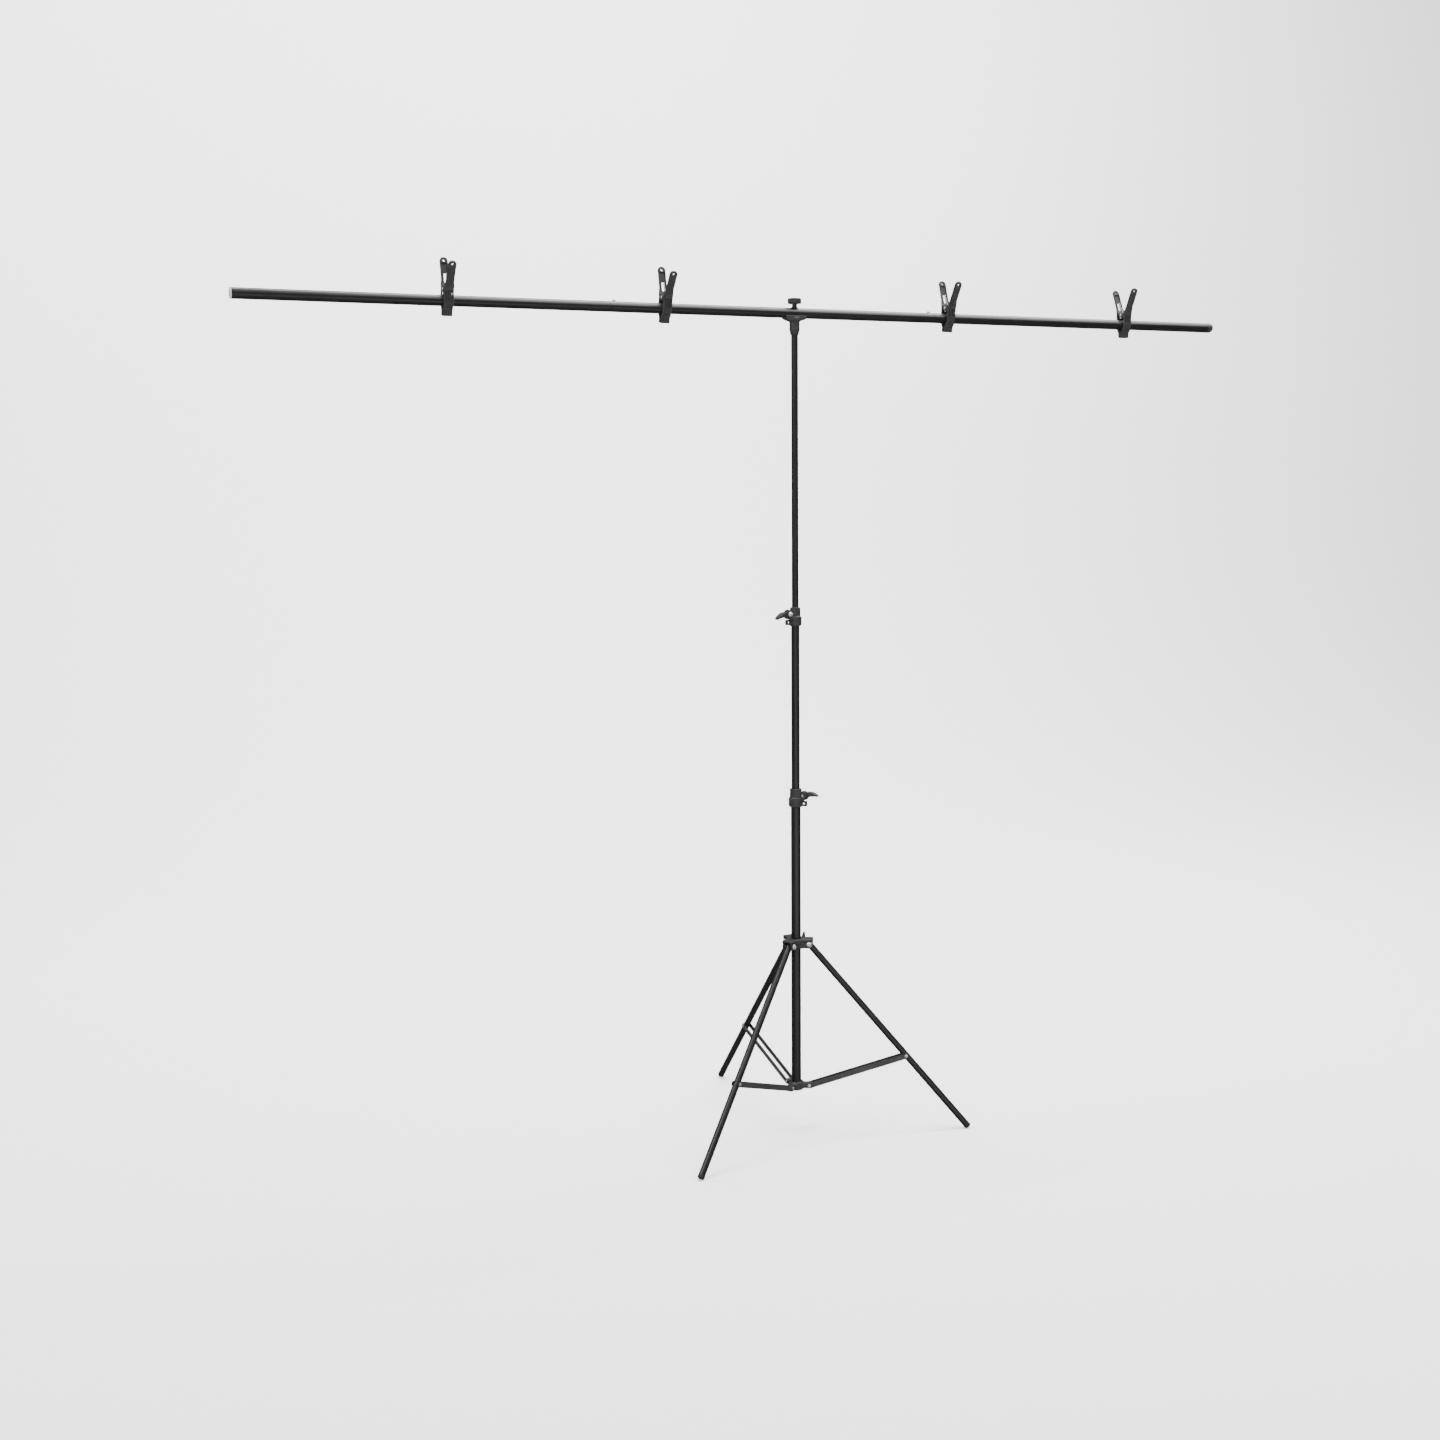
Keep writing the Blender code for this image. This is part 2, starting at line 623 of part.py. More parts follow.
def brace_strip(name, parent, side):
    """A flat strip up local Z beside the leg, with the half rivet that is set in its leg end."""
    half = STRIP_HEIGHT / 2
    outline = arc((0, 0), half, math.pi, math.tau) + arc((0, BRACE_LENGTH), half, 0, math.pi)
    hole = circle((0, 0), RIVET_RADIUS + GAP)
    data = upright(outline_mesh(name, [outline, hole], STRIP_THICKNESS))
    moved_mesh(data, shift(y=side * (STRIP_OFFSET + STRIP_THICKNESS / 2)))
    strip = place(name, data, parent, surface=BLACK_STEEL)
    face = STRIP_OFFSET + STRIP_THICKNESS
    head = pin_profile(RIVET_HEAD_RADIUS, STRIP_THICKNESS / 2, RIVET_HEAD_RADIUS, RIVET_HEAD_HEIGHT)
    rivet = settled_mesh(turned("rivet", [(r, z) for r, z in head if z > 0] + [(0, 0)], sides=SMALL_SIDES))
    turn = shift(y=side * (face - STRIP_THICKNESS / 2), z=BRACE_LENGTH) @ rotation("X", -side * math.pi / 2)
    return combine(strip, moved_mesh(rivet, turn), "UNION")


def brace(index, parent):
    """Two strips that straddle the leg and turn on the lower hub's rivet."""
    matrix = rotation("Z", leg_azimuth(index)) @ shift(x=LEG_HINGE_RADIUS, z=LOWER_HUB_Z)
    matrix = matrix @ rotation("Y", BRACE_SPREAD)
    pivot = empty("brace_%d_hinge" % (index + 1), parent, matrix)
    brace_strip("brace_%d_strip_a" % (index + 1), pivot, 1)
    brace_strip("brace_%d_strip_b" % (index + 1), pivot, -1)
    return pivot


# Collars


def collar(name, outer_radius, inner_radius, parent, end_z, azimuth, lift):
    """A moulded clamp collar on a tube's end; the lever and the lug point along its local X."""
    top = COLLAR_LIP
    bottom = top - COLLAR_HEIGHT
    pin = (outer_radius + LEVER_PIN_OFFSET, top - LEVER_PIN_DROP)
    step = pin[1] - LEVER_EYE_RADIUS
    base = outer_radius + COLLAR_BASE_WALL
    crown = outer_radius + COLLAR_TOP_WALL
    bore = outer_radius + GAP
    mouth = outer_radius + GAP + COLLAR_MOUTH_WALL
    profile = [
        (crown - COLLAR_EDGE, top),
        (crown, top - COLLAR_EDGE),
        (crown, step),
        (base - COLLAR_EDGE, step - COLLAR_SLOPE),
        (base, bottom + COLLAR_ROUNDING),
        (mouth, bottom),
        (bore, bottom),
        (bore, GAP),
        (inner_radius + GAP, GAP),
        (inner_radius + GAP, top),
    ]
    frame = empty(name + "_frame", parent, shift(z=end_z) @ rotation("Z", azimuth))
    body = turned(name, profile, frame, surface=BLACK_PLASTIC, closed=True)
    for side in (1, -1):
        cheek = arc(pin, CHEEK_RADIUS, math.radians(80), math.radians(-75))
        cheek += [(mouth, pin[1] - CHEEK_RADIUS), (mouth, pin[1] + CHEEK_RADIUS * math.sin(math.radians(55)))]
        data = upright(outline_mesh("cheek", [cheek], CHEEK_THICKNESS))
        across = side * (LEVER_ROOT_WIDTH / 2 + GAP + CHEEK_THICKNESS / 2)
        combine(body, moved_mesh(data, shift(y=across)), "UNION")
    combine(body, upright(lug_mesh(outer_radius, mouth, pin[1], bottom)), "UNION")
    reach = LEVER_ARM_WIDTH
    start, end = (pin[0], -reach, pin[1]), (pin[0], reach, pin[1])
    combine(body, rod_mesh("pin_hole", LEVER_PIN_RADIUS + GAP, start, end))
    collar_pin(name + "_pin", frame, pin)
    collar_lever(name + "_lever", frame, pin, lift)
    return frame


def lug_mesh(outer_radius, inside, pin_z, bottom):
    """The looped lug under the lever."""
    reach = outer_radius + LUG_REACH
    low = bottom + LUG_LIFT
    high = pin_z - CHEEK_RADIUS - LUG_PLAY
    outline = [(inside, low), (reach - LUG_CORNER, low + LUG_SLANT), (reach, low + LUG_SLANT + LUG_CORNER)]
    outline += [(reach, high - LUG_CORNER), (reach - LUG_CORNER, high), (inside, high + LUG_SLANT)]
    root = outer_radius + COLLAR_BASE_WALL + LUG_SLANT
    window = [(root, low + LUG_RIM), (reach - LUG_RIM, low + LUG_SLANT + LUG_RIM)]
    window += [(reach - LUG_RIM, high - LUG_RIM), (root, high - LUG_RIM)]
    return outline_mesh("lug", [outline, window], LUG_WIDTH)


def collar_pin(name, parent, pin):
    """The lever's pin: a bright domed head outside one cheek and a flush end in the other."""
    cheek_face = LEVER_ROOT_WIDTH / 2 + GAP + CHEEK_THICKNESS
    profile = half_rivet_profile(
        LEVER_PIN_RADIUS,
        2 * cheek_face + GAP,
        LEVER_PIN_HEAD_RADIUS,
        LEVER_PIN_HEAD_HEIGHT,
    )
    matrix = shift(pin[0], -cheek_face, pin[1]) @ rotation("X", -math.pi / 2)
    return turned(name, profile, parent, matrix, LEG_SIDES, BRIGHT_STEEL)


def lever_arm_outline(start):
    """The arm seen from its side: its middle line drops as a parabola, and it thins to the tip."""
    steps = 2 * ARC_STEPS
    upper = []
    lower = []
    for step in range(steps + 1):
        share = step / steps
        x = start + (LEVER_REACH - LEVER_TIP_HALF - start) * share
        z = -LEVER_DROP * share**2
        half = LEVER_ARM_HALF + (LEVER_TIP_HALF - LEVER_ARM_HALF) * share**2
        upper.append((x, z + half))
        lower.append((x, z - half))
    tip = arc((LEVER_REACH - LEVER_TIP_HALF, -LEVER_DROP), LEVER_TIP_HALF, math.pi / 2, -math.pi / 2)
    return upper[:-1] + tip + lower[-2::-1]


def collar_lever(name, parent, pin, lift):
    """A curved clamp lever; its eye turns between the cheeks and its arm is wider outside them."""
    clear = CHEEK_RADIUS + SWING_PLAY
    root = arc((0, 0), LEVER_EYE_RADIUS, math.radians(90), math.radians(270))
    neck = clear + LEVER_ROOT_WIDTH / 2
    root += [(neck, -LEVER_ARM_HALF), (neck, LEVER_ARM_HALF)]
    matrix = shift(pin[0], 0, pin[1]) @ rotation("Y", -lift)
    data = upright(outline_mesh(name, [root], LEVER_ROOT_WIDTH))
    lever = place(name, data, parent, matrix, surface=BLACK_PLASTIC)
    combine(lever, upright(outline_mesh("arm", [lever_arm_outline(clear)], LEVER_ARM_WIDTH)), "UNION")
    across = LEVER_ROOT_WIDTH
    combine(lever, rod_mesh("eye", LEVER_PIN_RADIUS + GAP, (0, -across, 0), (0, across, 0)))
    return lever


# Head and crossbar


def head_hub(parent):
    """The socket on the top tube's end, with the saddle that the crossbar lies in."""
    bore = TOP_TUBE_RADIUS + GAP
    outside = bore + SOCKET_RADIAL_WALL
    saddle_top = HEAD_TO_BAR - SADDLE_HUG
    hug = BAR_RADIUS + GAP
    profile = [
        (0, SADDLE_FLOOR),
        (outside, SADDLE_FLOOR),
        (outside, SOCKET_TAPER - SOCKET_DEPTH),
        (bore + SOCKET_MOUTH_WALL, -SOCKET_DEPTH),
        (bore, -SOCKET_DEPTH),
        (bore, GAP),
        (0, GAP),
    ]
    hub = turned("head_hub", profile, parent, surface=BLACK_PLASTIC)
    end_z = HEAD_TO_BAR - BAR_RADIUS - SADDLE_END
    half = SADDLE_LENGTH / 2
    belly_z = SADDLE_FLOOR - SADDLE_BELLY
    outline = [(-half, saddle_top), (half, saddle_top), (half, end_z), (outside, belly_z)]
    outline += [(-outside, belly_z), (-half, end_z)]
    combine(hub, upright(outline_mesh("saddle", [outline], 2 * hug)), "UNION")
    trough = rod_mesh("trough", hug, (-half * 2, 0, HEAD_TO_BAR), (half * 2, 0, HEAD_TO_BAR), TUBE_SIDES)
    combine(hub, trough)
    screw_end = SADDLE_FLOOR - BAR_SCREW_SEAT
    hole = rod_mesh("screw_hole", BAR_SCREW_RADIUS + GAP, (0, 0, screw_end), (0, 0, HEAD_TO_BAR))
    combine(hub, hole)
    return hub


def bar_station(fraction):
    """Place along X, from the column's axis, of a fraction of the crossbar's length."""
    return BAR_SHIFT + (fraction - 0.5) * BAR_LENGTH


def along_bar(name, profile, parent, start, side, sides, surface, closed=True):
    """Turn a profile about the crossbar's axis; its height runs along +X or -X from start."""
    matrix = shift(x=start) @ rotation("Y", side * math.pi / 2)
    return turned(name, profile, parent, matrix, sides, surface, closed)


def crossbar(parent):
    """Three steel tubes: the outer two are necked down to plug into the middle one."""
    seams = [bar_station(1 / BAR_SECTIONS), bar_station((BAR_SECTIONS - 1) / BAR_SECTIONS)]
    middle = (seams[0] + seams[1]) / 2
    half = (seams[1] - seams[0] - GAP) / 2
    profile = tube_profile(BAR_RADIUS, BAR_RADIUS - BAR_WALL, -half, half)
    tube = along_bar("bar_middle", profile, parent, middle, 1, TUBE_SIDES, BLACK_PAINT)
    tall = 2 * BAR_RADIUS
    start, end = (tall, 0, -middle), (-tall, 0, -middle)
    combine(tube, rod_mesh("screw_hole", BAR_SCREW_RADIUS + GAP, start, end))
    for side, seam, name, end_piece in (
        (-1, seams[0], "bar_left", END_RING_LIP),
        (1, seams[1], "bar_right", END_CAP_LENGTH),
    ):
        button_x = seam - side * BUTTON_INSET
        offset = button_x - middle
        hole = rod_mesh("button_hole", BUTTON_RADIUS + GAP, (0, 0, offset), (-tall, 0, offset))
        combine(tube, hole)
        outer_section(name, parent, seam, side, end_piece)
        bar_button(name + "_button", parent, button_x)
    end_ring(parent)
    end_cap(parent)


def outer_section(name, parent, seam, side, end_piece):
    """A full-width tube from the seam to the end piece, and a neck the other way."""
    inner = BAR_RADIUS - BAR_WALL
    neck_inner = NECK_RADIUS - BAR_WALL
    length = BAR_LENGTH / BAR_SECTIONS - end_piece - GAP
    profile = [
        (inner, length),
        (BAR_RADIUS, length),
        (BAR_RADIUS, GAP / 2),
        (NECK_RADIUS, GAP / 2),
        (NECK_RADIUS, -NECK_LENGTH),
        (neck_inner, -NECK_LENGTH),
        (neck_inner, NECK_TAPER),
        (inner, 2 * NECK_TAPER),
    ]
    tube = along_bar(name, profile, parent, seam, side, TUBE_SIDES, BLACK_PAINT)
    tall = 2 * BAR_RADIUS
    start, end = (0, 0, -BUTTON_INSET), (-side * tall, 0, -BUTTON_INSET)
    combine(tube, rod_mesh("button_hole", BUTTON_RADIUS + GAP, start, end))
    return tube


def bar_button(name, parent, x):
    """A spring button that stands out of the top of the tube; it moves along Z."""
    top = BAR_RADIUS + BUTTON_OUT
    bottom = NECK_RADIUS - BAR_WALL - BUTTON_RADIUS
    dome = arc((0, top - BUTTON_RADIUS), BUTTON_RADIUS, math.pi / 2, 0, 3)[1:]
    profile = [(0, top)] + dome + [(BUTTON_RADIUS, bottom), (0, bottom)]
    return turned(name, profile, parent, shift(x=x), SMALL_SIDES, BRIGHT_STEEL)


def end_ring(parent):
    """The pale ferrule in the open left end."""
    inner = NECK_RADIUS - END_RING_WALL
    profile = [
        (inner, END_RING_LIP),
        (BAR_RADIUS, END_RING_LIP),
        (BAR_RADIUS, 0),
        (NECK_RADIUS, 0),
        (NECK_RADIUS, -END_RING_LENGTH),
        (inner, -END_RING_LENGTH),
    ]
    start = bar_station(0) + END_RING_LIP
    return along_bar("bar_end_ring", profile, parent, start, -1, TUBE_SIDES, GREY_PLASTIC)


def end_cap(parent):
    """The domed plug in the right end."""
    dome = arc((0, END_CAP_LENGTH - BAR_RADIUS), BAR_RADIUS, math.pi / 2, 0, 4)[1:]
    profile = [(0, END_CAP_LENGTH)] + dome
    profile += [(BAR_RADIUS, 0), (NECK_RADIUS, 0), (NECK_RADIUS, -END_PLUG_LENGTH), (0, -END_PLUG_LENGTH)]
    start = bar_station(1) - END_CAP_LENGTH
    return along_bar("bar_end_cap", profile, parent, start, 1, TUBE_SIDES, BLACK_PLASTIC, closed=False)


def bar_knob(parent):
    """A lobed thumb knob; its screw runs through the crossbar into the saddle."""
    seat = BAR_RADIUS + GAP
    head = seat + KNOB_NECK_LENGTH
    tip = -BAR_RADIUS - GAP - BAR_SCREW_SEAT + 2 * GAP
    profile = [
        (0, head + KNOB_THICKNESS / 2),
        (KNOB_RADIUS / 2, head + KNOB_THICKNESS / 2),
        (KNOB_RADIUS / 2, head),
        (KNOB_NECK_RADIUS, seat + 0.45 * KNOB_NECK_LENGTH),
        (KNOB_FLANGE_RADIUS, seat + 0.12 * KNOB_NECK_LENGTH),
        (KNOB_FLANGE_RADIUS, seat),
        (BAR_SCREW_RADIUS, seat),
        (BAR_SCREW_RADIUS, tip),
        (0, tip),
    ]
    knob = turned("bar_knob", profile, parent, sides=SMALL_SIDES, surface=BLACK_PLASTIC)
    steps = KNOB_LOBES * 6
    rim = []
    for step in range(steps):
        angle = math.tau * step / steps
        radius = KNOB_RADIUS + KNOB_LOBE_DEPTH * math.cos(KNOB_LOBES * angle)
        rim.append((radius * math.cos(angle), radius * math.sin(angle)))
    disc = outline_mesh("disc", [rim], KNOB_THICKNESS)
    combine(knob, moved_mesh(disc, shift(z=head + KNOB_THICKNESS / 2)), "UNION")
    return knob


# Clips


def handle_line():
    """The bend at the foot of the +Y handle's inner face, the way up it and the way in, as (y, z)."""
    bend = Vector((BAR_RADIUS, BAR_RADIUS + CLIP_KNEE_RISE))
    up = Vector((math.sin(CLIP_HANDLE_LEAN), math.cos(CLIP_HANDLE_LEAN)))
    return bend, up, Vector((-up.y, up.x))


def clip_side_outline():
    """One half seen along the crossbar, on the +Y side: handle, bend, jaw round the tube, tip."""
    hug = BAR_RADIUS + GAP
    bend, up, inward = handle_line()
    top = bend + up * CLIP_HANDLE_LENGTH
    tip_z = -BAR_RADIUS - CLIP_JAW_DROP
    pad_z = tip_z + CLIP_PAD_HEIGHT
    pad = GAP / 2
    inner = [tuple(top), tuple(bend), (hug, BAR_RADIUS / 2)]
    inner += arc((0, 0), hug, math.radians(14), math.radians(-42))
    inner += [(pad + CLIP_JAW_CHAMFER, pad_z + 2 * CLIP_JAW_CHAMFER), (pad, pad_z), (pad, tip_z)]
    face = pad + CLIP_JAW_TIP
    outer = [(face - CLIP_JAW_CHAMFER, tip_z), (face, tip_z + CLIP_PAD_HEIGHT / 2)]
    outer += arc((0, 0), hug + CLIP_WALL, math.radians(-50), 0)
    outer += [(hug + CLIP_WALL, bend.y), tuple(top - inward * CLIP_WALL)]
    return inner + outer


def clip_front_outline():
    """One half seen across the crossbar: a round-ended handle that widens at the pin."""
    half = CLIP_WIDTH / 2
    grip = CLIP_HANDLE_WIDTH / 2
    bend, up, _ = handle_line()
    top = (bend + up * CLIP_HANDLE_LENGTH).y
    shoulder = CLIP_PIN_Z + CLIP_TAPER_RISE
    right = [(half, -BAR_RADIUS - CLIP_JAW_DROP), (half, shoulder - CLIP_TAPER / 2)]
    right += [(grip, shoulder + CLIP_TAPER / 2)]
    crown = arc((0, top - grip), grip, 0, math.pi, 2 * ARC_STEPS)
    return right + crown + [(-x, z) for x, z in reversed(right)]


def ear_mesh(inner_face):
    """A cheek from the half's plate to the pin's eye, in a plane across the crossbar."""
    plate = BAR_RADIUS + GAP + CLIP_WALL / 2
    eye = arc((0, CLIP_PIN_Z), CLIP_EYE_RADIUS, math.radians(105), math.radians(270), ARC_STEPS + 1)
    outline = [(plate, CLIP_PIN_Z + CLIP_EAR_RISE), *eye, (plate, CLIP_PIN_Z - CLIP_EYE_RADIUS)]
    data = outline_mesh("ear", [outline], CLIP_EAR_THICKNESS)
    along_y = rotation("Z", math.pi / 2) @ rotation("X", math.pi / 2)
    side = math.copysign(1, inner_face)
    return moved_mesh(data, shift(x=inner_face + side * CLIP_EAR_THICKNESS / 2) @ along_y)


def clip_half_mesh(name, ear_face):
    """A moulded half on the +Y side, with its two ears, hang hole and grip pocket."""
    turn = rotation("Z", math.pi / 2) @ rotation("X", math.pi / 2)
    side_data = moved_mesh(outline_mesh(name, [clip_side_outline()], 2 * CLIP_WIDTH), turn)
    half = place(name, side_data)
    front = upright(outline_mesh("front", [clip_front_outline()], 4 * CLIP_HANDLE_LENGTH))
    combine(half, front, "INTERSECT")
    for side in (1, -1):
        combine(half, ear_mesh(side * ear_face), "UNION")
    start, end = (-CLIP_WIDTH, 0, CLIP_PIN_Z), (CLIP_WIDTH, 0, CLIP_PIN_Z)
    combine(half, rod_mesh("pin_hole", CLIP_PIN_RADIUS + GAP, start, end))
    bend = handle_line()[0]
    handle = shift(y=bend.x, z=bend.y) @ rotation("X", -CLIP_HANDLE_LEAN)
    hole_z = CLIP_HANDLE_LENGTH - CLIP_HOLE_INSET
    hole = rod_mesh("hang_hole", CLIP_HOLE_RADIUS, (0, -CLIP_WALL, hole_z), (0, 2 * CLIP_WALL, hole_z))
    combine(half, moved_mesh(hole, handle))
    rim = CLIP_HANDLE_WIDTH / 2 - CLIP_POCKET_RIM
    low = (-rim, -CLIP_WALL, CLIP_POCKET_INSET)
    pocket = box_mesh("pocket", low, (rim, CLIP_POCKET_DEPTH, hole_z - CLIP_POCKET_INSET))
    combine(half, moved_mesh(pocket, handle))
    return settled_mesh(half)


def spring_route():
    """A torsion spring: a leg down from one handle, turns round the pin, a leg up the other."""
    radius = CLIP_PIN_RADIUS + SPRING_PLAY + SPRING_WIRE_RADIUS
    bend, up, inward = handle_line()
    rest = bend + up * SPRING_REST + inward * (SPRING_WIRE_RADIUS + GAP - CLIP_POCKET_DEPTH)
    to_rest = rest - Vector((0, CLIP_PIN_Z))
    leave = math.atan2(to_rest.y, to_rest.x) - math.acos(radius / to_rest.length)
    start = math.pi - leave
    turn = SPRING_FULL_TURNS * math.tau + (math.tau + leave - start)
    count = math.ceil(turn / math.tau * SPRING_POINTS_PER_TURN)
    half_width = CLIP_INNER_EAR - SPRING_SIDE_PLAY - SPRING_WIRE_RADIUS
    points = [Vector((-half_width, -rest.x, rest.y))]
    for step in range(count + 1):
        angle = start + turn * step / count
        x = half_width * (2 * step / count - 1)
        points.append(Vector((x, radius * math.cos(angle), CLIP_PIN_Z + radius * math.sin(angle))))
    points.append(Vector((half_width, rest.x, rest.y)))
    return points


def least_self_gap(points, wire_radius):
    """The least clear distance between parts of a wire that aren't next to each other."""
    samples = []
    for a, b in zip(points, points[1:]):
        samples += [a.lerp(b, i / 4) for i in range(4)]
    samples.append(points[-1])
    lengths = [0.0]
    for a, b in zip(samples, samples[1:]):
        lengths.append(lengths[-1] + (b - a).length)
    apart = 8 * wire_radius
    gaps = []
    for i, a in enumerate(samples):
        for j in range(i + 1, len(samples)):
            if lengths[j] - lengths[i] > apart:
                gaps.append((samples[j] - a).length)
    return min(gaps) - 2 * wire_radius


def spring_curve(name, points):
    curve = bpy.data.curves.new(name, "CURVE")
    curve.dimensions = "3D"
    curve.bevel_depth = SPRING_WIRE_RADIUS
    curve.bevel_resolution = 1
    curve.use_fill_caps = True
    spline = curve.splines.new("POLY")
    spline.points.add(len(points) - 1)
    for point, place_at in zip(spline.points, points):
        point.co = (*place_at, 1)
    return curve


def clips(parent):
    """Four clips: the front half rides on the crossbar and the back half turns on its pin."""
    back = clip_half_mesh("clip_back", CLIP_INNER_EAR)
    front = moved_mesh(clip_half_mesh("clip_front", CLIP_OUTER_EAR), rotation("Z", math.pi))
    route = spring_route()
    print("spring least self-gap, mm: %.3f" % (1000 * least_self_gap(route, SPRING_WIRE_RADIUS)))
    half_length = CLIP_WIDTH / 2 + GAP
    profile = pin_profile(CLIP_PIN_RADIUS, half_length, CLIP_PIN_HEAD_RADIUS, CLIP_PIN_HEAD_HEIGHT)
    pin = settled_mesh(turned("clip_pin", profile, sides=SMALL_SIDES))
    for number, (x, roll) in enumerate(CLIPS, 1):
        frame = empty("clip_%d_frame" % number, parent, shift(x=x) @ rotation("X", roll))
        place("clip_%d_front" % number, front, frame, surface=CLIP_PLASTIC)
        pivot = shift(z=CLIP_PIN_Z)
        hinge = empty("clip_%d_hinge" % number, frame, pivot)
        place("clip_%d_back" % number, back, hinge, pivot.inverted(), surface=CLIP_PLASTIC)
        turn = pivot @ rotation("Y", math.pi / 2)
        place("clip_%d_pin" % number, pin, frame, turn, surface=BRIGHT_STEEL)
        name = "clip_%d_spring" % number
        place(name, spring_curve(name, route), frame, surface=BRIGHT_STEEL)


# Assembly


def main():
    column = empty("column", matrix=Matrix.Translation(column_place()))
    column_tube("lower_tube", LOWER_TUBE_RADIUS, LOWER_TUBE_LENGTH, column, LOWER_TUBE_Z)
    lower_hub(column)
    lower_hub_rivets(column)
    slider = empty("upper_hub_frame", column, shift(z=HINGE_Z))
    upper_hub(slider)
    upper_hub_bolts(slider)
    hub_knob(slider)
    for index in range(LEG_COUNT):
        leg(index, slider)
        brace(index, column)
    collar(
        "lower_collar",
        LOWER_TUBE_RADIUS,
        MIDDLE_TUBE_RADIUS,
        column,
        LOWER_TUBE_END_Z,
        LOWER_LEVER_AZIMUTH,
        LOWER_LEVER_LIFT,
    )
    middle = empty("middle_frame", column, shift(z=MIDDLE_TUBE_END_Z))
    column_tube("middle_tube", MIDDLE_TUBE_RADIUS, MIDDLE_TUBE_LENGTH, middle, -MIDDLE_TUBE_LENGTH)
    collar(
        "upper_collar",
        MIDDLE_TUBE_RADIUS,
        TOP_TUBE_RADIUS,
        middle,
        0,
        UPPER_LEVER_AZIMUTH,
        UPPER_LEVER_LIFT,
    )
    top = empty("top_frame", middle, shift(z=TOP_TUBE_OUT))
    column_tube("top_tube", TOP_TUBE_RADIUS, TOP_TUBE_LENGTH, top, -TOP_TUBE_LENGTH)
    head_hub(top)
    bar = empty("bar_frame", top, shift(z=HEAD_TO_BAR))
    crossbar(bar)
    bar_knob(bar)
    clips(bar)


main()
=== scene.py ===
"""Backdrop stand: a folding tripod, a telescopic column, a crossbar in three sections and four spring clips.

Metres, +Z up. The sections follow the stand from the floor up, as it is put together.
"""

import json
import math

import bpy
import numpy as np
from mathutils import Matrix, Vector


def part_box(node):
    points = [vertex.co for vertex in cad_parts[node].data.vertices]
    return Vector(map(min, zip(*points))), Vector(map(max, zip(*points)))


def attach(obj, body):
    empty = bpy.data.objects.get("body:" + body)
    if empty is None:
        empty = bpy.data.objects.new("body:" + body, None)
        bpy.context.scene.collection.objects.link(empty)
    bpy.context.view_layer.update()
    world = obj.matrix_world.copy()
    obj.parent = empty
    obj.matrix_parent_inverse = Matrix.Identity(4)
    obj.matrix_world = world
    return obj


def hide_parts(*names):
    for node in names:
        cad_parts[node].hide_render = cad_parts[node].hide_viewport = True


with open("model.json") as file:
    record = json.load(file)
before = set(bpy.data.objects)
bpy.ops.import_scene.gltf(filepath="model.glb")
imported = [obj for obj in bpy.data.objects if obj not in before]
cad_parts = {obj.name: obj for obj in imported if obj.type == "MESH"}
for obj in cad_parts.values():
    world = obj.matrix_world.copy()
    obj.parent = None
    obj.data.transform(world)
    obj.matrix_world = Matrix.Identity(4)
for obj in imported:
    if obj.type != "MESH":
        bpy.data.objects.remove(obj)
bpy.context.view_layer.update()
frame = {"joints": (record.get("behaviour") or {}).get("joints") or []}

# Column: three lengths of steel tube, each sliding in the one below. They are seam-welded, cut,
# deburred at the rim and powder coated satin black.

TUBE_WALL = 0.001
RIM_ROUNDING = 0.00035
TUBE_TURNS = 72


def linear(hex_colour):
    """An sRGB colour such as "1a1b1e" as linear red, green, blue and full alpha."""
    share = np.array([int(hex_colour[i : i + 2], 16) for i in (0, 2, 4)]) / 255
    value = np.where(share <= 0.04045, share / 12.92, ((share + 0.055) / 1.055) ** 2.4)
    return (*value.tolist(), 1.0)


def add_node(tree, kind, sockets=None, **settings):
    """Add a shader node with its settings; each named socket gets a value or a link from another socket."""
    node = tree.nodes.new(kind)
    for name, value in settings.items():
        setattr(node, name, value)
    for name, value in (sockets or {}).items():
        if isinstance(value, bpy.types.NodeSocket):
            tree.links.new(value, node.inputs[name])
        else:
            node.inputs[name].default_value = value
    return node


def new_finish(name, **sockets):
    """A material with a Principled shader whose plain sockets are set, and the object's own coordinates."""
    finish = bpy.data.materials.new(name)
    finish.use_nodes = True
    tree = finish.node_tree
    tree.nodes.clear()
    shader = add_node(tree, "ShaderNodeBsdfPrincipled", sockets)
    add_node(tree, "ShaderNodeOutputMaterial", {"Surface": shader.outputs["BSDF"]})
    point = add_node(tree, "ShaderNodeTexCoord").outputs["Object"]
    return finish, tree, shader, point


def vary(tree, factor, socket, low, high):
    """Let a factor from 0 to 1 move a number socket between two values."""
    spread = add_node(tree, "ShaderNodeMapRange", {"Value": factor, "To Min": low, "To Max": high})
    tree.links.new(spread.outputs["Result"], socket)


def tint(tree, factor, socket, dark, light):
    """Let a factor from 0 to 1 move a colour socket between two sRGB colours."""
    mixed = add_node(tree, "ShaderNodeMix", {"Factor": factor}, data_type="RGBA")
    mixed.inputs["A"].default_value = linear(dark)
    mixed.inputs["B"].default_value = linear(light)
    tree.links.new(mixed.outputs["Result"], socket)


def roughen(tree, height, shader, depth):
    """Bump a shader's normal by a height from 0 to 1 over a depth in metres."""
    bump = add_node(tree, "ShaderNodeBump", {"Height": height, "Distance": depth, "Strength": 1.0})
    tree.links.new(bump.outputs["Normal"], shader.inputs["Normal"])


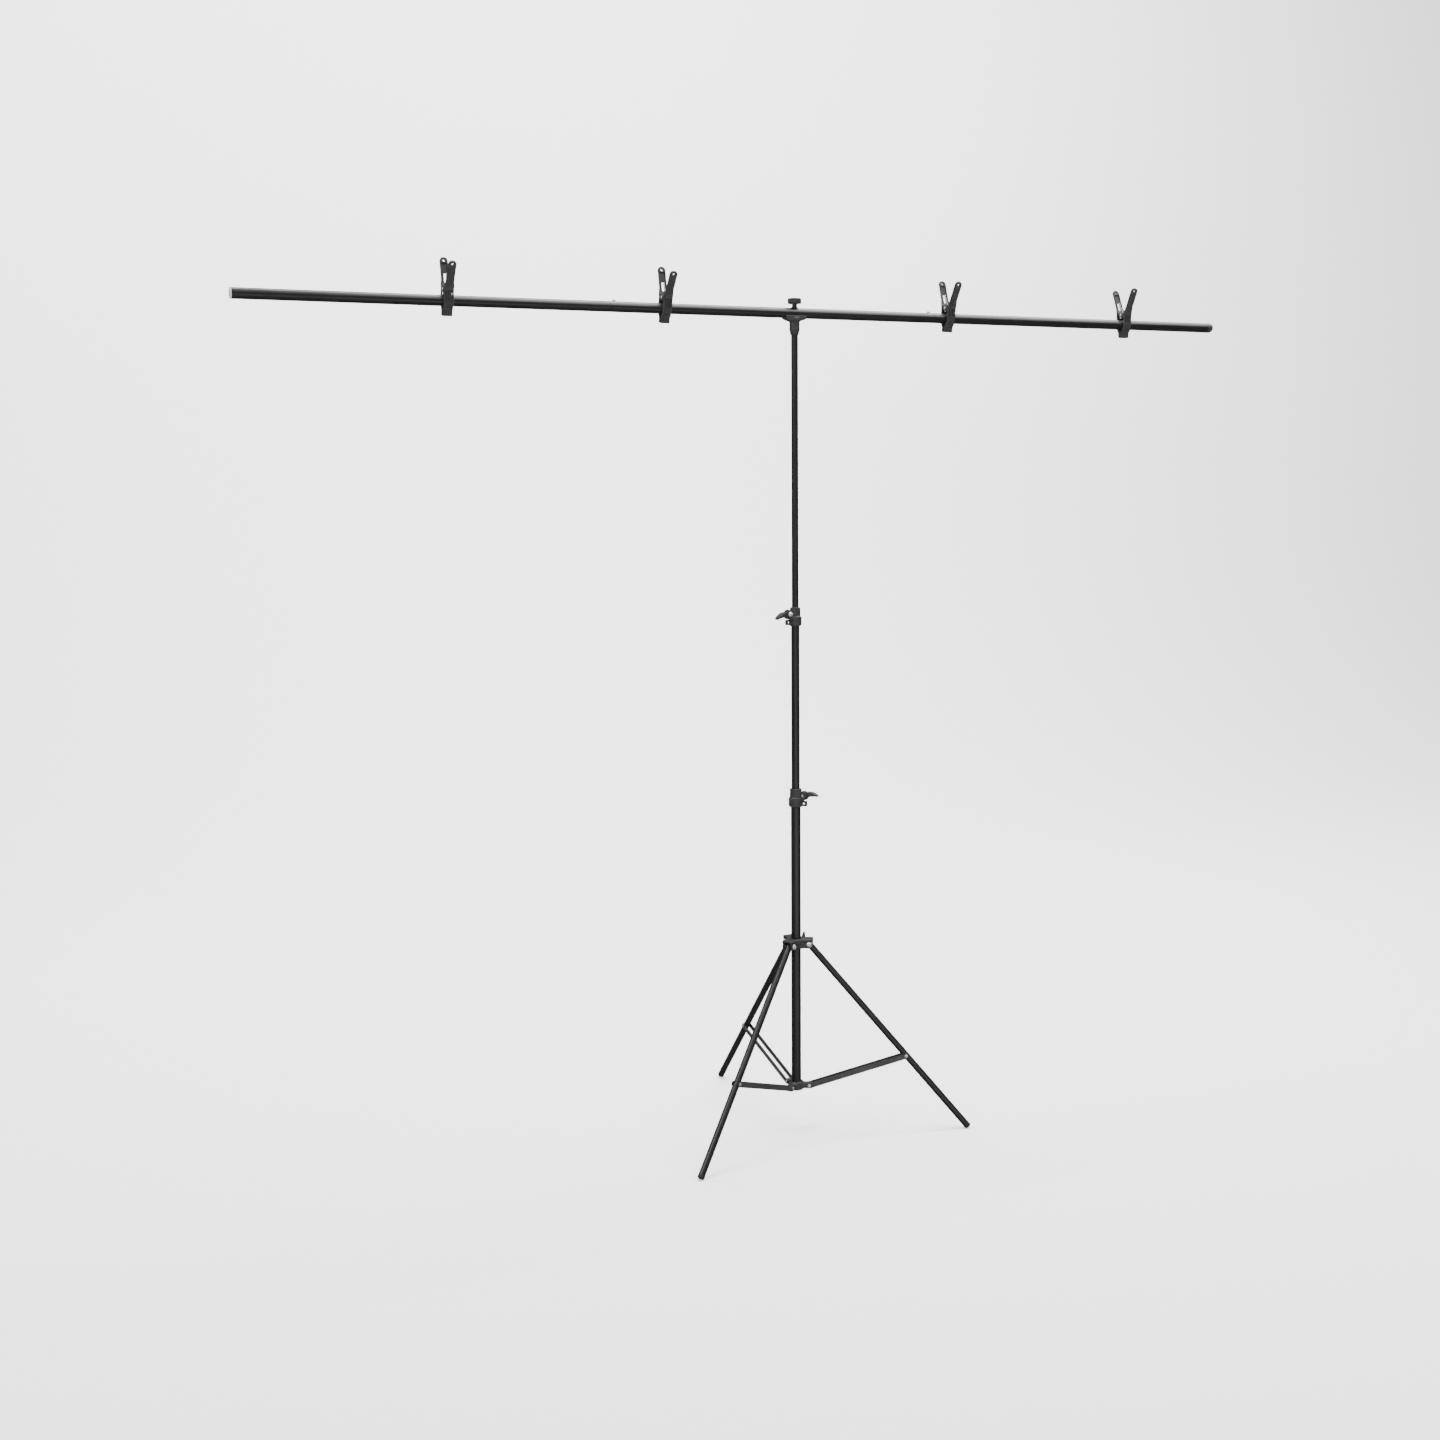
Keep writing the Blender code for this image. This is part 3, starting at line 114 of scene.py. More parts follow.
def powder_coat():
    """Polyester powder coat on steel: satin black, with the fine orange peel of the baked film."""
    film = {"IOR": 1.5, "Coat Weight": 0.12, "Coat Roughness": 0.22}
    finish, tree, shader, point = new_finish("powder_coated_steel", **film)
    # The peel is about 1.6 mm across, so 620 to the metre; hands leave patches of some 50 mm.
    peel = add_node(tree, "ShaderNodeTexNoise", {"Vector": point, "Scale": 620.0, "Detail": 2.0})
    handled = add_node(tree, "ShaderNodeTexNoise", {"Vector": point, "Scale": 21.0, "Detail": 4.0})
    tint(tree, handled.outputs["Fac"], shader.inputs["Base Color"], "0c0b0c", "181617")
    vary(tree, handled.outputs["Fac"], shader.inputs["Roughness"], 0.30, 0.44)
    roughen(tree, peel.outputs["Fac"], shader, 0.00003)
    return finish


def place(origin, z_axis=(0, 0, 1), x_axis=(1, 0, 0)):
    """A 4 x 4 frame whose Z runs along z_axis and whose X leans towards x_axis."""
    z_axis = np.array(z_axis, float) / np.linalg.norm(z_axis)
    y_axis = np.cross(z_axis, x_axis)
    y_axis /= np.linalg.norm(y_axis)
    matrix = np.eye(4)
    matrix[:3, :3] = np.stack([np.cross(y_axis, z_axis), y_axis, z_axis], axis=1)
    matrix[:3, 3] = origin
    return matrix


def moved(points, matrix):
    """Points taken from a frame's own space to the stand's."""
    return points @ matrix[:3, :3].T + matrix[:3, 3]


def mesh_piece(name, corners, quads):
    """A smooth mesh object from corners and quads; a quad with a repeated corner becomes a triangle."""
    kept = quads != np.roll(quads, -1, axis=1)
    sides = kept.sum(axis=1)
    kept &= (sides > 2)[:, None]
    sides = sides[sides > 2]
    mesh = bpy.data.meshes.new(name)
    mesh.vertices.add(len(corners))
    mesh.vertices.foreach_set("co", corners.astype(np.float32).ravel())
    mesh.loops.add(int(sides.sum()))
    mesh.loops.foreach_set("vertex_index", quads[kept].astype(np.int32))
    mesh.polygons.add(len(sides))
    mesh.polygons.foreach_set("loop_start", (np.cumsum(sides) - sides).astype(np.int32))
    mesh.update(calc_edges=True)
    mesh.validate()
    mesh.shade_smooth()
    piece = bpy.data.objects.new(name, mesh)
    bpy.context.scene.collection.objects.link(piece)
    return piece


def surface(name, grid, close_rows=False, close_columns=False):
    """A mesh through a grid of rows and columns of points; points that coincide, as at a pole, are merged."""
    corners, index = np.unique(np.round(grid.reshape(-1, 3), 8), axis=0, return_inverse=True)
    index = index.reshape(grid.shape[:2])
    if close_rows:
        index = np.vstack([index, index[:1]])
    if close_columns:
        index = np.hstack([index, index[:, :1]])
    quads = [index[:-1, :-1], index[1:, :-1], index[1:, 1:], index[:-1, 1:]]
    return mesh_piece(name, corners, np.stack(quads, axis=-1).reshape(-1, 4))


def rounded(corners, radii, closed=True, steps=5, hold=0.0005):
    """A profile's points: an arc at each corner, and a point near each end of a straight run."""
    corners = np.array(corners, float)
    points = []
    for number, (corner, radius) in enumerate(zip(corners, radii)):
        if radius == 0 or (not closed and number in (0, len(corners) - 1)):
            points.append(corner)
            continue
        back = corners[number - 1] - corner
        ahead = corners[(number + 1) % len(corners)] - corner
        back /= np.linalg.norm(back)
        ahead /= np.linalg.norm(ahead)
        half = math.acos(float(np.clip(back @ ahead, -1, 1))) / 2
        centre = corner + (back + ahead) / np.linalg.norm(back + ahead) * radius / math.sin(half)
        start = corner + back * radius / math.tan(half) - centre
        end = corner + ahead * radius / math.tan(half) - centre
        sweep = math.pi - 2 * half
        share = np.linspace(0, 1, steps + 1)[:, None]
        arc = start * np.sin((1 - share) * sweep) + end * np.sin(share * sweep)
        points.extend(centre + arc / math.sin(sweep))
    points = np.array(points)
    following = np.roll(points, -1, axis=0)
    result = []
    for number, (point, after) in enumerate(zip(points, following)):
        result.append(point)
        run = np.linalg.norm(after - point)
        if run > 4 * hold and (closed or number < len(points) - 1):
            result.append(point + (after - point) * hold / run)
            result.append(after - (after - point) * hold / run)
    return np.array(result)


def turned(name, profile, matrix, turns=TUBE_TURNS, closed=True):
    """A profile of (radius, height), down its outer side, carried round the Z axis of a frame."""
    angle = np.linspace(0, math.tau, turns, endpoint=False)
    radius, height = profile[:, :1], profile[:, 1:]
    grid = np.stack([radius * np.cos(angle), radius * np.sin(angle), height + 0 * angle], axis=-1)
    return surface(name, moved(grid, matrix), close_rows=closed, close_columns=True)


def tube_profile(outer, inner, low, high):
    """The cut through a tube's wall, with its rims rounded."""
    return rounded([(outer, high), (outer, low), (inner, low), (inner, high)], [RIM_ROUNDING] * 4)


def fit(piece, body, slot, finish, *nodes):
    """Give a piece its body, its finish and the nodes that it stands for; the slot argument is not used."""
    piece.data.materials.append(finish)
    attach(piece, body)
    if nodes:
        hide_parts(*nodes)
    return piece


POWDER_COAT = powder_coat()
for tube_name, tube_body in (("lower_tube", "base"), ("middle_tube", "middle"), ("top_tube", "top")):
    low, high = (np.array(corner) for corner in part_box(tube_name))
    tube_radius = (high[0] - low[0]) / 2
    tube_foot = place(((low[0] + high[0]) / 2, (low[1] + high[1]) / 2, low[2]))
    tube_cut = tube_profile(tube_radius, tube_radius - TUBE_WALL, 0, high[2] - low[2])
    tube = turned(tube_name + "_shell", tube_cut, tube_foot)
    fit(tube, tube_body, "black_tube", POWDER_COAT, tube_name)

# Lower hub: a spider of moulded ABS, pressed on the foot of the lower tube and closing it. Its three
# arms each carry a pair of braces on a rivet.

COLUMN_X, COLUMN_Y = tube_foot[:2, 3]
LOWER_TUBE_RADIUS = (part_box("lower_tube")[1][0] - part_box("lower_tube")[0][0]) / 2
JOINTS = {joint["name"]: joint for joint in frame["joints"]}
LEG_NUMBERS = (1, 2, 3)
LEG_HINGES = [np.array(JOINTS["leg_%d_fold" % number]["pos_m"]) for number in LEG_NUMBERS]
LEG_AXES = [np.array(JOINTS["leg_%d_fold" % number]["axis"]) for number in LEG_NUMBERS]
LEG_AZIMUTHS = [math.atan2(-axis[0], axis[1]) for axis in LEG_AXES]
HINGE_RADIUS = math.hypot(LEG_HINGES[0][0] - COLUMN_X, LEG_HINGES[0][1] - COLUMN_Y)
LOWER_HUB_Z = JOINTS["brace_1_fold"]["pos_m"][2]
GAP = 0.0003
LOWER_HUB_CUP_WALL = 0.0037
LOWER_HUB_CUP_HALF = 0.0085
LOWER_HUB_FLOOR = 0.0022
LEG_RADIUS = 0.0065
LOWER_HUB_ARM_HALF_HEIGHT = 0.0055
LOWER_HUB_RIM_EDGE = 0.0012
LOWER_HUB_ARM_EDGE = 0.0007
LOWER_HUB_ARM_FILLET = 0.004
LOWER_HUB_MOUTH_EDGE = 0.0008
HUB_NOSE = 0.008
RIVET_RADIUS = 0.0019
HOLE_EDGE = 0.0005
# A cut that leaves through an open side of a moulding goes on this far.
FAR = 0.05
LEAST_SLOPE = 0.05
SETTLING_ROUNDS = 3


def box_field(p, low, high, edge):
    """Distance to a box with rounded edges: the length of what lies beyond each pair of its faces."""
    low, high = np.array(low, float), np.array(high, float)
    beyond = np.abs(p - (low + high) / 2) - (high - low) / 2 + edge
    return np.linalg.norm(np.maximum(beyond, 0), axis=-1) + np.minimum(beyond.max(axis=-1), 0) - edge


def meet(a, b, edge):
    """Where two fields overlap, with the edge between them rounded to a radius."""
    a, b = a + edge, b + edge
    return np.hypot(np.maximum(a, 0), np.maximum(b, 0)) + np.minimum(np.maximum(a, b), 0) - edge


def join(a, b, fillet):
    """Two fields as one, blended by a parabola where they differ by less than the fillet."""
    near = np.maximum(fillet - np.abs(a - b), 0)
    return np.minimum(a, b) - near * near / (4 * fillet)


def cut(a, b, fillet):
    """The first field with the second taken out, with its new edges eased."""
    return -join(-a, b, fillet)


def rod_field(p, start, end, radius, edge, end_radius=None):
    """Distance to a round rod with rounded rims; with another radius at its end it is a cone."""
    start, end = np.array(start, float), np.array(end, float)
    length = np.linalg.norm(end - start)
    axis = (end - start) / length
    along = (p - start) @ axis
    away = np.linalg.norm(p - start - along[..., None] * axis, axis=-1)
    taper = 0.0 if end_radius is None else (end_radius - radius) / length
    side = (away - radius - taper * np.clip(along, 0, length)) / math.hypot(1, taper)
    return meet(side, np.abs(along - length / 2) - length / 2, edge)


def leg_view(p, azimuth):
    """Points seen in a leg's own frame: X out along the leg, Y across it."""
    c, s = math.cos(azimuth), math.sin(azimuth)
    return np.stack([p[..., 0] * c + p[..., 1] * s, p[..., 1] * c - p[..., 0] * s, p[..., 2]], axis=-1)


def moulding(name, field, low, high, cell, matrix):
    """The surface where a field is zero.

    On a grid of cells, each cell that the surface passes through gets one corner, the mean of the places
    where the surface cuts its edges, drawn onto the surface along the field's slope. Each cut edge
    gives the quad of its four cells.
    """
    low = np.array(low, float) - 2 * cell
    counts = np.ceil((np.array(high, float) + 2 * cell - low) / cell).astype(int) + 1
    axes = [low[i] + cell * np.arange(counts[i]) for i in range(3)]
    value = field(np.stack(np.meshgrid(*axes, indexing="ij"), axis=-1))
    quads, places = [], []
    for axis in range(3):
        step = np.eye(3, dtype=int)[axis]
        start = np.argwhere(np.diff((value < 0).astype(np.int8), axis=axis) != 0)
        before = value[tuple(start.T)]
        after = value[tuple((start + step).T)]
        crossing = start + step * (before / (before - after))[:, None]
        around = np.repeat(start[:, None, :], 4, axis=1)
        around[:, :, (axis + 1) % 3] -= np.array([0, 1, 1, 0])
        around[:, :, (axis + 2) % 3] -= np.array([0, 0, 1, 1])
        cells = np.ravel_multi_index(tuple(np.moveaxis(around, -1, 0)), tuple(counts))
        quads.append(np.where((before < 0)[:, None], cells, cells[:, ::-1]))
        places.append(np.repeat(crossing, 4, axis=0))
    cells, index = np.unique(np.concatenate(quads).ravel(), return_inverse=True)
    places = np.concatenate(places)
    total = np.stack([np.bincount(index, places[:, i]) for i in range(3)], axis=1)
    corners = low + cell * total / np.bincount(index)[:, None]
    nudge = cell / 8
    for _ in range(SETTLING_ROUNDS):
        slope = [field(corners + nudge * side) - field(corners - nudge * side) for side in np.eye(3)]
        slope = np.stack(slope, axis=1) / (2 * nudge)
        steepness = np.maximum((slope * slope).sum(axis=1), LEAST_SLOPE)[:, None]
        pull = field(corners)[:, None] * slope / steepness
        corners = corners - np.clip(pull, -cell / 2, cell / 2)
    return mesh_piece(name, moved(corners, matrix), index.reshape(-1, 4))


def lower_hub_field(p):
    """A round cup with three arms; each arm ends round about its rivet's height and has the rivet's hole."""
    bore = LOWER_TUBE_RADIUS + GAP
    foot, mouth = (0, 0, -LOWER_HUB_CUP_HALF), (0, 0, LOWER_HUB_CUP_HALF)
    cup = rod_field(p, foot, mouth, bore + LOWER_HUB_CUP_WALL, LOWER_HUB_RIM_EDGE)
    floor_z = LOWER_HUB_FLOOR - LOWER_HUB_CUP_HALF
    half_width, half_height = LEG_RADIUS, LOWER_HUB_ARM_HALF_HEIGHT
    reach = HINGE_RADIUS + HUB_NOSE
    for azimuth in LEG_AZIMUTHS:
        q = leg_view(p, azimuth)
        arm_low, arm_high = (0, -half_width, -half_height), (reach, half_width, half_height)
        arm = box_field(q, arm_low, arm_high, LOWER_HUB_ARM_EDGE)
        nose = np.hypot(np.maximum(q[..., 0] - reach + half_height, 0), q[..., 2]) - half_height
        cup = join(cup, meet(arm, nose, LOWER_HUB_ARM_EDGE), LOWER_HUB_ARM_FILLET)
    cup = cut(cup, rod_field(p, (0, 0, floor_z), (0, 0, FAR), bore, 0), LOWER_HUB_MOUTH_EDGE)
    for azimuth in LEG_AZIMUTHS:
        q = leg_view(p, azimuth)
        hole = np.hypot(q[..., 0] - HINGE_RADIUS, q[..., 2]) - RIVET_RADIUS - GAP
        cup = cut(cup, np.maximum(hole, -q[..., 0]), HOLE_EDGE)
    return cup


def moulded_abs():
    """Injection-moulded ABS in black: a spark-eroded skin, matt, with a soft sheen where hands rub it."""
    finish, tree, shader, point = new_finish("moulded_abs", **{"IOR": 1.54})
    # A mould's spark grain is about 0.1 mm and would not show, so it is drawn at 0.5 mm. Hands rub it
    # bright in patches of about 14 mm.
    grain = add_node(tree, "ShaderNodeTexNoise", {"Vector": point, "Scale": 1900.0, "Detail": 3.0})
    rubbed = add_node(tree, "ShaderNodeTexNoise", {"Vector": point, "Scale": 70.0, "Detail": 3.0})
    tint(tree, rubbed.outputs["Fac"], shader.inputs["Base Color"], "1b1a1a", "2c2b2b")
    vary(tree, rubbed.outputs["Fac"], shader.inputs["Roughness"], 0.40, 0.58)
    roughen(tree, grain.outputs["Fac"], shader, 0.00003)
    return finish


CELL = 0.0005
MOULDED_ABS = moulded_abs()
hub_reach = HINGE_RADIUS + HUB_NOSE
lower_hub = moulding(
    "lower_hub_spider",
    lower_hub_field,
    (-hub_reach, -hub_reach, -LOWER_HUB_CUP_HALF),
    (hub_reach, hub_reach, LOWER_HUB_CUP_HALF),
    CELL,
    place((COLUMN_X, COLUMN_Y, LOWER_HUB_Z)),
)
fit(lower_hub, "base", "black_steel", MOULDED_ABS, "lower_hub")

# Rivets of the lower hub: zinc-plated steel pins, one through each arm, headed at both ends over the
# pair of braces so that they can turn.

STRIP_INNER = LEG_RADIUS + GAP
STRIP_THICKNESS = 0.0018
RIVET_HEAD_RADIUS = 0.0034
RIVET_HEAD_HEIGHT = 0.0011
HEAD_UNDERCUT = 0.0002
HEAD_ROOT = 0.0005
HEAD_TURNS = 32
CROWN_STEPS = 9


def zinc_plate():
    """Bright zinc plate on steel: a light metal with the fine concentric marks of turning and a soft haze."""
    finish, tree, shader, point = new_finish("zinc_plated_steel", **{"Metallic": 1.0})
    # The haze lies in patches of about 4 mm; turning marks of 0.1 mm are drawn at 0.7 mm to show.
    haze = add_node(tree, "ShaderNodeTexNoise", {"Vector": point, "Scale": 260.0, "Detail": 4.0})
    marks = add_node(tree, "ShaderNodeTexNoise", {"Vector": point, "Scale": 1500.0, "Detail": 2.0})
    tint(tree, haze.outputs["Fac"], shader.inputs["Base Color"], "dadad7", "f6f6f4")
    vary(tree, haze.outputs["Fac"], shader.inputs["Roughness"], 0.36, 0.52)
    roughen(tree, marks.outputs["Fac"], shader, 0.00001)
    return finish


def dome_profile(shank, half_length, head, height):
    """A two-headed rivet from its upper crown down: each head is a flat dome, a cosine of its radius."""
    lean = np.linspace(0, 1, CROWN_STEPS) * math.pi / 2
    crown = np.stack([head * np.sin(lean), half_length + height * np.cos(lean)], axis=1)
    under = [(head - HEAD_UNDERCUT, half_length), (shank, half_length), (shank, half_length - HEAD_ROOT)]
    upper = np.vstack([crown, under])
    return np.vstack([upper, upper[::-1] * (1, -1)])


ZINC_PLATE = zinc_plate()
half_grip = STRIP_INNER + STRIP_THICKNESS + GAP
rivet_cut = dome_profile(RIVET_RADIUS, half_grip, RIVET_HEAD_RADIUS, RIVET_HEAD_HEIGHT)
for number, hinge, axis in zip(LEG_NUMBERS, LEG_HINGES, LEG_AXES):
    rivet_place = place((hinge[0], hinge[1], LOWER_HUB_Z), axis, (0, 0, 1))
    rivet = turned("hub_rivet_%d" % number, rivet_cut, rivet_place, HEAD_TURNS, closed=False)
    fit(rivet, "base", "bright_steel", ZINC_PLATE, "lower_hub_rivet_%d" % number)

# Braces: two flat strips of painted steel to each leg, round-ended, riveted to the lower hub and to the
# leg, which they straddle.

STRIP_HALF_HEIGHT = 0.005
STRIP_EDGE = 0.0003
STRIP_FLAT_INSET = 2.5 * STRIP_EDGE
STRIP_END_STEPS = 17
BRACE_LEAN = math.radians(71.66)
LEG_LEAN = math.radians(40.5)
LEG_UPPER = 0.2945
BRACE_LENGTH = LEG_UPPER * math.sin(LEG_LEAN) / math.sin(BRACE_LEAN)


def strip_surface(name, matrix):
    """A round-ended flat strip along Z: rounds of one outline at shrinking distances from its middle line."""
    quarter = np.linspace(0, math.pi / 2, 5)
    edge_reach = STRIP_HALF_HEIGHT - STRIP_EDGE * (1 - np.sin(quarter))
    edge_face = STRIP_THICKNESS / 2 - STRIP_EDGE * (1 - np.cos(quarter))
    rounding = np.stack([edge_reach, edge_face], axis=1)
    flat = [(0, STRIP_THICKNESS / 2), (STRIP_HALF_HEIGHT - STRIP_FLAT_INSET, STRIP_THICKNESS / 2)]
    upper = np.vstack([flat, rounding])
    profile = np.vstack([upper, upper[::-1] * (1, -1)])
    angle = np.linspace(0, math.pi, STRIP_END_STEPS)
    turn = np.concatenate([angle, angle + math.pi])
    lift = np.concatenate([np.full(STRIP_END_STEPS, BRACE_LENGTH), np.zeros(STRIP_END_STEPS)])
    away, side = profile[:, :1], profile[:, 1:]
    grid = np.stack([away * np.cos(turn), side + 0 * turn, lift + away * np.sin(turn)], axis=-1)
    return surface(name, moved(grid[::-1], matrix), close_columns=True)


def painted_strip():
    """Stove-enamelled strip steel: black, a little glossier than the tubes, with rolled faces."""
    finish, tree, shader, point = new_finish("enamelled_strip_steel", **{"IOR": 1.5})
    # Rolling leaves patches of about 18 mm, and the enamel dries in ripples of some 2.4 mm.
    rolled = add_node(tree, "ShaderNodeTexNoise", {"Vector": point, "Scale": 55.0, "Detail": 5.0})
    drips = add_node(tree, "ShaderNodeTexNoise", {"Vector": point, "Scale": 420.0, "Detail": 2.0})
    tint(tree, rolled.outputs["Fac"], shader.inputs["Base Color"], "201f20", "363536")
    vary(tree, rolled.outputs["Fac"], shader.inputs["Roughness"], 0.32, 0.48)
    roughen(tree, drips.outputs["Fac"], shader, 0.00002)
    return finish


PAINTED_STRIP = painted_strip()
half_rivet = dome_profile(RIVET_RADIUS, STRIP_THICKNESS / 2, RIVET_HEAD_RADIUS, RIVET_HEAD_HEIGHT)
half_rivet = np.vstack([half_rivet[half_rivet[:, 1] > 0], [(0, 0)]])
for number, hinge, azimuth in zip(LEG_NUMBERS, LEG_HINGES, LEG_AZIMUTHS):
    outward = np.array([math.cos(azimuth), math.sin(azimuth), 0])
    across = np.array([-math.sin(azimuth), math.cos(azimuth), 0])
    along = math.sin(BRACE_LEAN) * outward + math.cos(BRACE_LEAN) * np.array([0, 0, 1])
    foot = np.array([hinge[0], hinge[1], LOWER_HUB_Z])
    for letter, side in (("a", 1), ("b", -1)):
        middle = foot + side * (STRIP_INNER + STRIP_THICKNESS / 2) * across
        strip_place = place(middle, along, np.cross(across, along))
        strip_name = "brace_%d_strip_%s" % (number, letter)
        strip = strip_surface(strip_name + "_bar", strip_place)
        fit(strip, "brace_%d" % number, "black_steel", PAINTED_STRIP, strip_name)
        rivet_place = place(middle + BRACE_LENGTH * along, side * across, (0, 0, 1))
        rivet_name = "leg_rivet_%d_%s" % (number, letter)
        rivet = turned(rivet_name, half_rivet, rivet_place, HEAD_TURNS, closed=False)
        fit(rivet, "brace_%d" % number, "bright_steel", ZINC_PLATE)

# Legs: steel tube coated like the column, each turning on a bolt in the upper hub, with a rubber cap
# that is plugged into its foot.

LEG_TOP = 0.004
LEG_LENGTH = 0.4849
CAP_LIP = 0.0003
CAP_LENGTH = 0.006
CAP_PLUG = 0.014
CAP_ROUNDINGS = [0, 0.0008, 0.0001, 0.0006, 0.003, 0]
CAP_DUST_HEIGHT = 0.006
LEG_TURNS = 56


def cap_rubber():
    """Moulded rubber: dull black, finely pitted, greyed by dust where it rests on the floor."""
    finish, tree, shader, point = new_finish("moulded_rubber", **{"IOR": 1.52})
    # The pits are about 0.7 mm across.
    pits = add_node(tree, "ShaderNodeTexNoise", {"Vector": point, "Scale": 1400.0, "Detail": 3.0})
    height = add_node(tree, "ShaderNodeSeparateXYZ", {"Vector": point})
    fade = {"Value": height.outputs["Z"], "From Max": CAP_DUST_HEIGHT, "To Min": 1.0, "To Max": 0.0}
    dust = add_node(tree, "ShaderNodeMapRange", fade)
    factors = {0: dust.outputs["Result"], 1: pits.outputs["Fac"]}
    patchy = add_node(tree, "ShaderNodeMath", factors, operation="MULTIPLY")
    tint(tree, patchy.outputs["Value"], shader.inputs["Base Color"], "121212", "4a4946")
    vary(tree, pits.outputs["Fac"], shader.inputs["Roughness"], 0.62, 0.82)
    roughen(tree, pits.outputs["Fac"], shader, 0.00004)
    return finish


CAP_RUBBER = cap_rubber()
cap_top = CAP_LENGTH - LEG_LENGTH
leg_cut = tube_profile(LEG_RADIUS, LEG_RADIUS - TUBE_WALL, cap_top + GAP, LEG_TOP)
cap_radius = LEG_RADIUS + CAP_LIP
plug_radius = LEG_RADIUS - TUBE_WALL - GAP
cap_corners = [(0, cap_top + CAP_PLUG), (plug_radius, cap_top + CAP_PLUG), (plug_radius, cap_top)]
cap_corners += [(cap_radius, cap_top), (cap_radius, -LEG_LENGTH), (0, -LEG_LENGTH)]
cap_cut = rounded(cap_corners, CAP_ROUNDINGS, closed=False, steps=10)
for number, hinge, azimuth in zip(LEG_NUMBERS, LEG_HINGES, LEG_AZIMUTHS):
    outward = np.array([math.cos(azimuth), math.sin(azimuth), 0])
    upward = math.cos(LEG_LEAN) * np.array([0, 0, 1]) - math.sin(LEG_LEAN) * outward
    leg_place = place(hinge, upward, outward)
    leg = turned("leg_%d_shell" % number, leg_cut, leg_place, LEG_TURNS)
    fit(leg, "leg_%d" % number, "black_tube", POWDER_COAT, "leg_%d" % number)
    cap = turned("foot_cap_%d_shell" % number, cap_cut, leg_place, LEG_TURNS, closed=False)
    worn = np.zeros(len(cap.data.vertices) * 3, np.float32)
    cap.data.vertices.foreach_get("co", worn)
    worn[2::3] = np.maximum(worn[2::3], 0)
    cap.data.vertices.foreach_set("co", worn)
    fit(cap, "leg_%d" % number, "foot_rubber", CAP_RUBBER, "foot_cap_%d" % number)

# Upper hub: a moulded star that slides on the lower tube. A thick rim sweeps round it in shallow
# hollows from arm to arm, and under each arm two ears hold the leg.

HINGE_Z = LEG_HINGES[0][2]
HUB_WALL = 0.008
UPPER_CORE_WALL = 0.005
EAR_THICKNESS = 0.0044
EAR_INSET = 0.0006
EAR_HALF = STRIP_INNER + EAR_THICKNESS
EAR_EDGE = 0.0008
EAR_FILLET = 0.003
LEG_END_CLEARANCE = 0.0006
UPPER_HUB_WEB = 0.0037
FORK_CEILING = math.hypot(LEG_RADIUS, LEG_TOP) + LEG_END_CLEARANCE
UPPER_HUB_TOP = FORK_CEILING + UPPER_HUB_WEB
UPPER_HUB_BOTTOM = -0.007
STAR_EDGE = 0.0012
STAR_FILLET = 0.011
RIM_DEPTH = 0.0062
RIM_EDGE = 0.0011
RIM_FILLET = 0.0012
CORE_DROP = 0.001
CORE_EDGE = 0.0008
FORK_BELOW = 0.01
FORK_ROUNDING = 0.0006
FORK_EDGE = 0.0007
BORE_EDGE = 0.0009
BOLT_RADIUS = 0.0027
LOCK_AZIMUTH = LEG_AZIMUTHS[0] + math.pi / 3
LOCK_HEIGHT = (UPPER_HUB_TOP + UPPER_HUB_BOTTOM) / 2
LOCK_SEAT = 0.0157
LOCK_BOSS_RADIUS = 0.0062
LOCK_BOSS_EDGE = 0.0006
LOCK_BOSS_FILLET = 0.002
LOCK_HOLE_RADIUS = 0.0031


